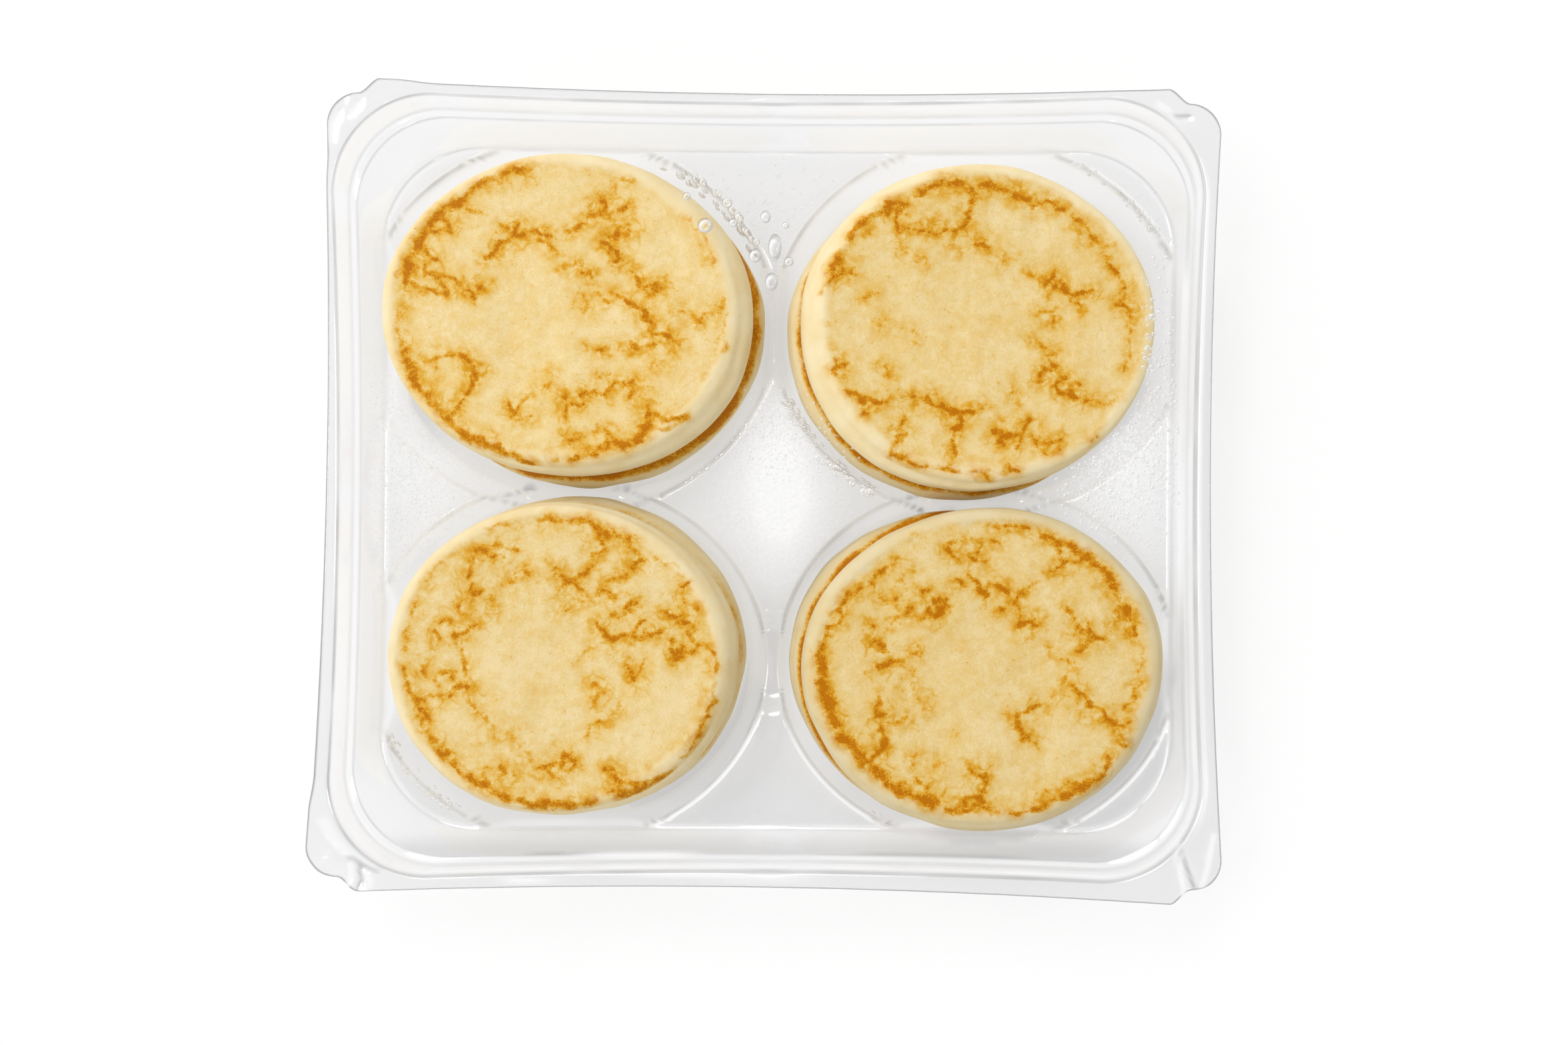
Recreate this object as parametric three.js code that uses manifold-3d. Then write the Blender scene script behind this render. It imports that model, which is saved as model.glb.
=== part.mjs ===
// A sealed pack of eight blini: a clear formed tray with four oval wells, two blini stacked in each well,
// and a clear film sealed over the flange.
// Millimetres, +Z up, origin on the resting surface under the middle of the tray, +X along the longer side.
import * as THREE from "three";
import Module from "manifold-3d";

// Levels above the resting surface.
const SHEET = 0.7;
const FLOOR_LEVEL = SHEET;
const DECK_LEVEL = 14;
const LEDGE_LEVEL = 21;
const LEDGE_FALL = 0.4;
const FLANGE_LEVEL = 27.4;
const FILM_THICKNESS = 0.3;
const GAP = 0.3;
const CUT_SPARE = 0.5;

// Half sizes of the tray's inner outlines, measured at the corners; bow is how far each side pulls in midway.
const RIM = { x: 107.9, y: 96.8, radius: 24, bow: 1.9, z: FLANGE_LEVEL };
const LEDGE_OUTER = { x: 106, y: 94.6, radius: 23, bow: 1.6, z: LEDGE_LEVEL + LEDGE_FALL };
const LEDGE_INNER = { x: 104.6, y: 93, radius: 22.5, bow: 1.4, z: LEDGE_LEVEL };
const DECK_EDGE = { x: 101, y: 87, radius: 25, bow: 0.6, z: DECK_LEVEL };
const WALL_FOOT = { x: 99, y: 85, radius: 24, bow: 0.4, z: FLOOR_LEVEL };

// The sealing flange: each corner is a round of its own, set in by a small step from the long edges.
const FLANGE = { x: 111.9, y: 100.6, bow: 2.7, radius: 7.5, step: 3.5, stepRun: 5.3 };

// The oval wells, a pair at the rear and a pair at the front: their place, and half sizes at the deck and at
// the floor. Each rear well opens into the front well before it.
const REAR_WELL = { x: 52.6, y: 42.4, top: { x: 52.4, y: 47.4 }, foot: { x: 49.6, y: 44.8 } };
const FRONT_WELL = { x: 52.6, y: -43.4, top: { x: 50.3, y: 45.4 }, foot: { x: 48, y: 43.2 } };
const BRIM_ROUND = 1.5;
const FLOOR_ROUND = 3;

// Saddles that lower the deck between a left and a right well: half sizes at the top and the bottom.
const SADDLE = { top: { x: 7, y: 12.5 }, foot: { x: 7, y: 9.5 }, level: 10 };

// The blini: thickness, and the side profile as [inset from the rim, share of the thickness].
const BLINI_THICKNESS = 11;
const BLINI_SIDE = [
  [5, 0],
  [2.3, 0.08],
  [0.7, 0.25],
  [0, 0.5],
  [0.6, 0.74],
  [1.9, 0.92],
  [4.4, 1],
];
const BLINI_DISH = 0.35;
const BLINI_WAVER = 0.009;

// The stacks' places, and each stack's side in X and Y, then each blini's offset from its place, its size and
// a phase for the waver of its rim.
const STACK_PLACE = { x: 52.6, y: 42.4 };
const STACKS = [
  {
    name: "rear_left",
    side: [-1, 1],
    lower: { offset: [5, -0.8], size: [89, 80.6], phase: 0.4 },
    upper: { offset: [2, 1.6], size: [91.6, 81.6], phase: 1.9 },
  },
  {
    name: "rear_right",
    side: [1, 1],
    lower: { offset: [-5.3, -2.8], size: [88, 82], phase: 2.7 },
    upper: { offset: [-1.9, -0.9], size: [89, 81.4], phase: 4.1 },
  },
  {
    name: "front_left",
    side: [-1, -1],
    lower: { offset: [0.6, 0.6], size: [91, 80.6], phase: 5.2 },
    upper: { offset: [0.5, -0.1], size: [87.2, 79.8], phase: 0.9 },
  },
  {
    name: "front_right",
    side: [1, -1],
    lower: { offset: [-2.9, -0.4], size: [89, 80.4], phase: 3.3 },
    upper: { offset: [1.2, -1.8], size: [91.6, 81.4], phase: 5.8 },
  },
];

// How finely round stretches are divided.
const SIDE_STEPS = 3;
const CORNER_STEPS = 7;
const ROUND_STEPS = 3;
const WELL_STEPS = 52;
const SADDLE_STEPS = 24;
const BLINI_STEPS = 34;

const wasm = await Module();
wasm.setup();

const mix = (from, to, share) => from + (to - from) * share;

// Mirrors a quarter outline, which runs from the +X axis to the +Y axis, into a full ring at height z.
function mirroredRing(quarter, z) {
  const back = [...quarter].reverse();
  const second = back.slice(1).map(([x, y]) => [-x, y]);
  const third = quarter.slice(1).map(([x, y]) => [-x, -y]);
  const fourth = back.slice(1, -1).map(([x, y]) => [x, -y]);
  return [...quarter, ...second, ...third, ...fourth].map(([x, y]) => [x, y, z]);
}

// A quarter of a rounded rectangle whose sides pull in by bow midway.
function roundedQuarter({ x, y, radius, bow }) {
  const points = [];
  const pull = (share) => bow * (1 - share * share);
  for (let i = 0; i <= SIDE_STEPS; i++) {
    const share = i / SIDE_STEPS;
    points.push([x - pull(share), (y - radius) * share]);
  }
  for (let i = 1; i <= CORNER_STEPS; i++) {
    const angle = (i / CORNER_STEPS) * (Math.PI / 2);
    points.push([x - radius + radius * Math.cos(angle), y - radius + radius * Math.sin(angle)]);
  }
  for (let i = SIDE_STEPS - 1; i >= 0; i--) {
    const share = i / SIDE_STEPS;
    points.push([(x - radius) * share, y - pull(share)]);
  }
  return points;
}

// A quarter of the flange outline: bowed side, corner round, a smooth step out, bowed long edge.
function flangeQuarter({ x, y, bow, radius, step, stepRun }) {
  const points = [];
  const pull = (share) => bow * (1 - share * share);
  const sideEnd = y - step - radius;
  const edgeEnd = x - radius - stepRun;
  for (let i = 0; i <= SIDE_STEPS; i++) {
    const share = i / SIDE_STEPS;
    points.push([x - pull(share), sideEnd * share]);
  }
  for (let i = 1; i <= CORNER_STEPS; i++) {
    const angle = (i / CORNER_STEPS) * (Math.PI / 2);
    points.push([x - radius + radius * Math.cos(angle), sideEnd + radius * Math.sin(angle)]);
  }
  for (let i = 1; i <= CORNER_STEPS; i++) {
    const share = i / CORNER_STEPS;
    points.push([x - radius - stepRun * share, y - step + step * THREE.MathUtils.smoothstep(share, 0, 1)]);
  }
  for (let i = SIDE_STEPS - 1; i >= 0; i--) {
    const share = i / SIDE_STEPS;
    points.push([edgeEnd * share, y - pull(share)]);
  }
  return points;
}

function ovalRing(centre, half, z, steps) {
  const points = [];
  for (let i = 0; i < steps; i++) {
    const angle = (i / steps) * 2 * Math.PI;
    points.push([centre.x + half.x * Math.cos(angle), centre.y + half.y * Math.sin(angle), z]);
  }
  return points;
}

// A closed body through rings of equal length, from the lowest to the highest. Heights of the cap centres
// may differ from their rings.
function loft(rings, footCentre = null, topCentre = null) {
  const count = rings[0].length;
  const middle = (ring) => [0, 1, 2].map((k) => ring.reduce((sum, p) => sum + p[k], 0) / count);
  const foot = footCentre ?? middle(rings[0]);
  const top = topCentre ?? middle(rings[rings.length - 1]);
  const positions = [...rings.flat(2), ...foot, ...top];
  const footIndex = rings.length * count;
  const topIndex = footIndex + 1;
  const lastRing = (rings.length - 1) * count;
  const index = [];
  for (let j = 0; j < count; j++) {
    const next = (j + 1) % count;
    for (let row = 0; row < lastRing; row += count) {
      index.push(row + j, row + next, row + count + next);
      index.push(row + j, row + count + next, row + count + j);
    }
    index.push(footIndex, next, j);
    index.push(topIndex, lastRing + j, lastRing + next);
  }
  const geometry = new THREE.BufferGeometry();
  geometry.setAttribute("position", new THREE.Float32BufferAttribute(positions, 3));
  geometry.setIndex(index);
  return geometry;
}

function solidOf(geometry) {
  const vertProperties = geometry.getAttribute("position").array;
  const triVerts = new Uint32Array(geometry.index.array);
  return new wasm.Manifold(new wasm.Mesh({ numProp: 3, vertProperties, triVerts }));
}

function geometryOf(solid) {
  const { vertProperties, triVerts } = solid.getMesh();
  const geometry = new THREE.BufferGeometry();
  geometry.setAttribute("position", new THREE.BufferAttribute(vertProperties, 3));
  geometry.setIndex(new THREE.BufferAttribute(triVerts, 1));
  geometry.computeVertexNormals();
  return geometry;
}

const joined = (solids) => solids.reduce((whole, solid) => whole.add(solid));

// One tray outline made larger all round by grow and let down by as much.
function outlineRing(outline, grow, z = outline.z) {
  const { x, y, radius, bow } = outline;
  const grown = { x: x + grow, y: y + grow, radius: radius + grow, bow };
  return mirroredRing(roundedQuarter(grown), z - grow);
}

// The stepped space above the deck, up to topLevel.
function rimSpace(grow, topLevel) {
  const lower = [DECK_EDGE, LEDGE_INNER, LEDGE_OUTER].map((outline) => outlineRing(outline, grow));
  return solidOf(loft([...lower, outlineRing(RIM, grow, topLevel + grow)]));
}

// The drafted space that the side walls leave for the wells below the deck.
function wallSpace(grow) {
  const rings = [WALL_FOOT, DECK_EDGE].map((outline) => outlineRing(outline, grow));
  return solidOf(loft([...rings, outlineRing(DECK_EDGE, grow, DECK_LEVEL + CUT_SPARE)]));
}

// One well, drafted, with a round at its floor and at its brim.
function wellSpace([sideX, sideY], grow) {
  const well = sideY > 0 ? REAR_WELL : FRONT_WELL;
  const centre = { x: sideX * well.x, y: well.y };
  const ringAt = (z, out) => {
    const share = (z - FLOOR_LEVEL) / (DECK_LEVEL - FLOOR_LEVEL);
    const half = {
      x: mix(well.foot.x, well.top.x, share) + out + grow,
      y: mix(well.foot.y, well.top.y, share) + out + grow,
    };
    return ovalRing(centre, half, z - grow, WELL_STEPS);
  };
  const rings = [];
  for (let i = 0; i <= ROUND_STEPS; i++) {
    const angle = (i / ROUND_STEPS) * (Math.PI / 2);
    rings.push(ringAt(FLOOR_LEVEL + FLOOR_ROUND * (1 - Math.cos(angle)), -FLOOR_ROUND * (1 - Math.sin(angle))));
  }
  for (let i = 0; i <= ROUND_STEPS; i++) {
    const angle = (i / ROUND_STEPS) * (Math.PI / 2);
    rings.push(ringAt(DECK_LEVEL - BRIM_ROUND * (1 - Math.sin(angle)), BRIM_ROUND * (1 - Math.cos(angle))));
  }
  rings.push(ringAt(DECK_LEVEL + CUT_SPARE, BRIM_ROUND));
  return solidOf(loft(rings));
}

// The saddle between the two rear wells or the two front wells.
function saddleSpace(well, grow) {
  const { top, foot, level } = SADDLE;
  const centre = { x: 0, y: well.y };
  const ringAt = (half, z) => {
    const grown = { x: half.x + grow, y: half.y + grow };
    return ovalRing(centre, grown, z - grow, SADDLE_STEPS);
  };
  return solidOf(loft([ringAt(foot, level), ringAt(top, DECK_LEVEL), ringAt(top, DECK_LEVEL + CUT_SPARE)]));
}

// Everything that one face of the tray's sheet encloses.
function traySpace(grow, topLevel) {
  const wells = joined(STACKS.map(({ side }) => wellSpace(side, grow)));
  const saddles = [REAR_WELL, FRONT_WELL].map((well) => saddleSpace(well, grow));
  const sunk = joined([wells, ...saddles]).intersect(wallSpace(grow));
  return sunk.add(rimSpace(grow, topLevel));
}

function flangePlate(lowLevel, topLevel) {
  const quarter = flangeQuarter(FLANGE);
  return loft([mirroredRing(quarter, lowLevel), mirroredRing(quarter, topLevel)]);
}

function trayGeometry() {
  const flange = solidOf(flangePlate(FLANGE_LEVEL - SHEET, FLANGE_LEVEL));
  const body = traySpace(SHEET, FLANGE_LEVEL - SHEET / 2);
  const inside = traySpace(0, FLANGE_LEVEL + CUT_SPARE);
  return geometryOf(flange.add(body).subtract(inside));
}

// One blini standing on z = 0: an oval with a softly wavering rim and a faintly dished top.
function bliniGeometry({ size, phase }) {
  const rings = BLINI_SIDE.map(([inset, share]) => {
    const points = [];
    for (let i = 0; i < BLINI_STEPS; i++) {
      const angle = (i / BLINI_STEPS) * 2 * Math.PI;
      const waver = Math.sin(2 * angle + phase) + 0.7 * Math.sin(3 * angle + 2 * phase) + 0.4 * Math.sin(5 * angle);
      const reach = 1 + BLINI_WAVER * waver;
      const x = (size[0] / 2) * reach - inset;
      const y = (size[1] / 2) * reach - inset;
      points.push([x * Math.cos(angle), y * Math.sin(angle), share * BLINI_THICKNESS]);
    }
    return points;
  });
  const geometry = loft(rings, [0, 0, 0], [0, 0, BLINI_THICKNESS - BLINI_DISH]);
  geometry.computeVertexNormals();
  return geometry;
}

const clearSheet = new THREE.MeshStandardMaterial({
  color: 0xe9eef0,
  roughness: 0.12,
  metalness: 0,
  transparent: true,
  opacity: 0.35,
});
const clearFilm = new THREE.MeshStandardMaterial({
  color: 0xf4f6f7,
  roughness: 0.08,
  metalness: 0,
  transparent: true,
  opacity: 0.15,
});
const bakedBatter = new THREE.MeshStandardMaterial({ color: 0xe3bb82, roughness: 0.8, metalness: 0 });

function named(name, geometry, material) {
  const mesh = new THREE.Mesh(geometry, material);
  mesh.name = name;
  return mesh;
}

const pack = new THREE.Group();
pack.add(named("tray", trayGeometry(), clearSheet));

for (const { name, side, lower, upper } of STACKS) {
  const stack = new THREE.Group();
  stack.position.set(side[0] * STACK_PLACE.x, side[1] * STACK_PLACE.y, FLOOR_LEVEL + GAP);
  for (const [row, blini] of [lower, upper].entries()) {
    const mesh = named(`blini_${name}_${row ? "upper" : "lower"}`, bliniGeometry(blini), bakedBatter);
    mesh.position.set(...blini.offset, row * (BLINI_THICKNESS + GAP));
    stack.add(mesh);
  }
  pack.add(stack);
}

const filmFoot = FLANGE_LEVEL + GAP;
const film = flangePlate(filmFoot, filmFoot + FILM_THICKNESS);
film.computeVertexNormals();
pack.add(named("lid_film", film, clearFilm));

export default pack;
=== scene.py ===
"""A sealed pack of eight blini: a clear formed tray, a clear film, and two blini in each of its four wells.

Lengths are in millimetres until a mesh is made. Rear is +Y, the top of the photograph.
"""
import math
from collections import namedtuple

import bpy
import numpy as np
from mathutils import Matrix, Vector
from mathutils.geometry import delaunay_2d_cdt


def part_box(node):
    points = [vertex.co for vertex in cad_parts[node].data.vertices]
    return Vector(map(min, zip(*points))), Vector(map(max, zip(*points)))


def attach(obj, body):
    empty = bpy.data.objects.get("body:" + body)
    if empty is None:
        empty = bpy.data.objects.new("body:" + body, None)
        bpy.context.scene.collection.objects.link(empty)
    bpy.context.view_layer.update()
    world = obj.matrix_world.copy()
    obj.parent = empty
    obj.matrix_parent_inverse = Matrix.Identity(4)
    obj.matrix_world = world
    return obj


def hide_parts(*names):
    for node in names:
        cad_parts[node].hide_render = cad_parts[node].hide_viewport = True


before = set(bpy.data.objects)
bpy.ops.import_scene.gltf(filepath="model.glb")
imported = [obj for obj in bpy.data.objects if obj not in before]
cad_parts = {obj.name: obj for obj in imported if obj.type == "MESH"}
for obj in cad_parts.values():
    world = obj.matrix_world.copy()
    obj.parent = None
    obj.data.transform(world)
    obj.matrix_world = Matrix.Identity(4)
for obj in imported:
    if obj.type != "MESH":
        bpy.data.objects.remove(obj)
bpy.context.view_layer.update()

MM = 0.001

# The photograph: its size, and the camera that took it.
IMAGE_WIDTH, IMAGE_HEIGHT = 2353, 1568
CAMERA_PLACE = (22.0, -10.0, 420.0)
CAMERA_ROLL = math.radians(0.4)
FOCAL_PIXELS = 2382
AXIS_PIXEL = (1288, 800)
SENSOR_WIDTH = 36.0

# The tray's inner outlines as half sizes at the corners; bow is how far each side pulls in midway.
# The thin tray is a little askew, so each outline also has the place of its middle.
Outline = namedtuple("Outline", "x y radius bow z middle_x middle_y")
FLOOR_LEVEL, DECK_LEVEL, FLANGE_LEVEL = 0.7, 14.0, 27.4
WALL_FOOT = Outline(99, 85, 24, 0.4, FLOOR_LEVEL, 0.8, 0.4)
DECK_EDGE = Outline(101, 87, 25, 0.6, DECK_LEVEL, 1.2, 0.7)
LEDGE_INNER = Outline(104.6, 93, 22.5, 1.4, 21, 0.0, 0.8)
LEDGE_OUTER = Outline(106, 94.6, 23, 1.6, 21.4, -0.2, 0.9)
RIM = Outline(107.9, 96.8, 24, 1.9, FLANGE_LEVEL, -0.8, 1.1)
WALL = [WALL_FOOT, DECK_EDGE, LEDGE_INNER, LEDGE_OUTER, RIM]
SHEET_THICKNESS = 0.65
# How far apart the tray's points are: along folds, between them, in the flange's corners and on the saddles.
FOLD_SPACING, FILL_SPACING, LIP_SPACING, SADDLE_SPACING = 1.7, 2.3, 0.75, 0.6
# Where its rings of points lie: distances outside the rim, and shares of the way up each stretch of the wall.
RIM_STEPS = (0, 0.25, 0.7, 1.3, 2.1)
WALL_STEPS = [
    (0, 0.2, 0.5, 0.85), (0, 0.06, 0.2, 0.4, 0.6, 0.8, 0.94),
    (0, 0.17, 0.5, 0.83), (0, 0.13, 0.35, 0.65, 0.87),
]

# The flange: a round at each corner, then a step out to the bowed long edge.
FLANGE_X, FLANGE_Y, FLANGE_BOW = 111.9, 100.6, 2.7
FLANGE_RADIUS, FLANGE_STEP, FLANGE_STEP_RUN = 7.5, 3.5, 5.3
FLANGE_SPACING, FLANGE_TURN_POINTS, FLANGE_STEP_POINTS = 1.6, 14, 10
# Shares of the way out to the flange's edge, for its hem and for where rings, corner and film points end.
HEM_SHARE, RING_SHARE, LIP_SHARE, FILM_SHARE = 0.997, 0.991, 0.992, 0.985
# Where the corners' finer points are: this far from the middle in X and Y, and this far outside the rim.
LIP_X, LIP_Y, LIP_PAST = 90, 80, 2.6
# How far each corner of the thin flange is bent out of square, by its side in X and Y.
CORNER_FLEX = {(-1, 1): (2.1, 1.0), (1, 1): (-0.9, -0.5), (-1, -1): (-2.4, 1.2), (1, -1): (0.6, -0.9)}
# How far the middles of its left and rear sides are bent outwards.
LEFT_FLEX, REAR_FLEX = 0.6, 0.9

# Wells and the saddles between left and right wells, as half sizes of their ovals.
Well = namedtuple("Well", "x y foot top")
REAR_WELL = Well(52.6, 42.4, (49.6, 44.8), (52.4, 47.4))
FRONT_WELL = Well(52.6, -43.4, (48.0, 43.2), (50.3, 45.4))
# Each well by its side in X and Y.
WELLS = {
    (side_x, side_y): well._replace(x=side_x * well.x)
    for side_y, well in ((1, REAR_WELL), (-1, FRONT_WELL)) for side_x in (-1, 1)
}
SADDLE_Y = (REAR_WELL.y, FRONT_WELL.y)
SADDLE_FOOT, SADDLE_TOP, SADDLE_LEVEL = (7.0, 9.5), (7.01, 12.5), 10.0
# Half sizes of the grid of points that covers a saddle, the line on which front and rear wells meet, and how
# many points go round a well.
SADDLE_GRID = (9, 16)
WELLS_MEET_Y = -1
WELL_SIDES = 210
# How much of a hollow's draft its rounded brim takes up, to each side of the brim.
BRIM_ROUND = 0.5
# Radii over which heights are averaged to round off edges, and how much wider that is on the ridges at X 0.
EDGE_ROUNDS, RIDGE_WIDER = (0.5, 0.95), 1.1

# The film: where it lies on the flange, how far it bulges over the tray, and how its points are spaced.
FILM_SEAT = FLANGE_LEVEL + 0.08
FILM_BULGE = 0.3
FILM_THICKNESS = 0.1
FILM_SPACING, FILM_EDGE_SPACING = 1.8, 2.0

# The side of a blini as (inset from the rim, share of the thickness), from the top face to the underside.
BLINI_SIDE = [(4.4, 1), (1.9, 0.92), (0.6, 0.74), (0, 0.5), (0.7, 0.25), (2.3, 0.08), (5, 0)]
BLINI_DISH = 0.35
# How finely blini are divided: points round the rim, points down the side, and the top face's point spacing.
Fineness = namedtuple("Fineness", "rim side spacing")
FINENESS = {"upper": Fineness(300, 27, 0.44), "lower": Fineness(200, 19, 1.6)}

# What sets each stack apart: how bright its faces are, how bright its sides are, which is painted light and
# shade, how brown the lower blini is where the upper one's edge lies on it, partly browning and partly
# painted shadow, how much rawer it is all over, how far the upper face leans off the middle of its rim and
# that face's strokes lie from where they are written, and how far the lower blini has slipped.
Stack = namedtuple("Stack", "tone side_tone contact raw lean stroke_shift slip")
STACKS = {
    "rear_left": Stack(0.995, 0.99, 1.0, 0.02, (-2.6, 1.4), (0, -0.8), (0, 0)),
    "rear_right": Stack(0.94, 0.96, 0.75, 0.0, (2.6, 1.6), (-0.9, -0.9), (0, 0)),
    "front_left": Stack(0.95, 0.95, 0.4, 0.045, (-1.6, 0.6), (0.1, -0.6), (0, 0)),
    "front_right": Stack(0.91, 0.81, 1.15, 0.0, (-0.2, 0.8), (0.5, 0), (-1.0, -1.3)),
}

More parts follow.
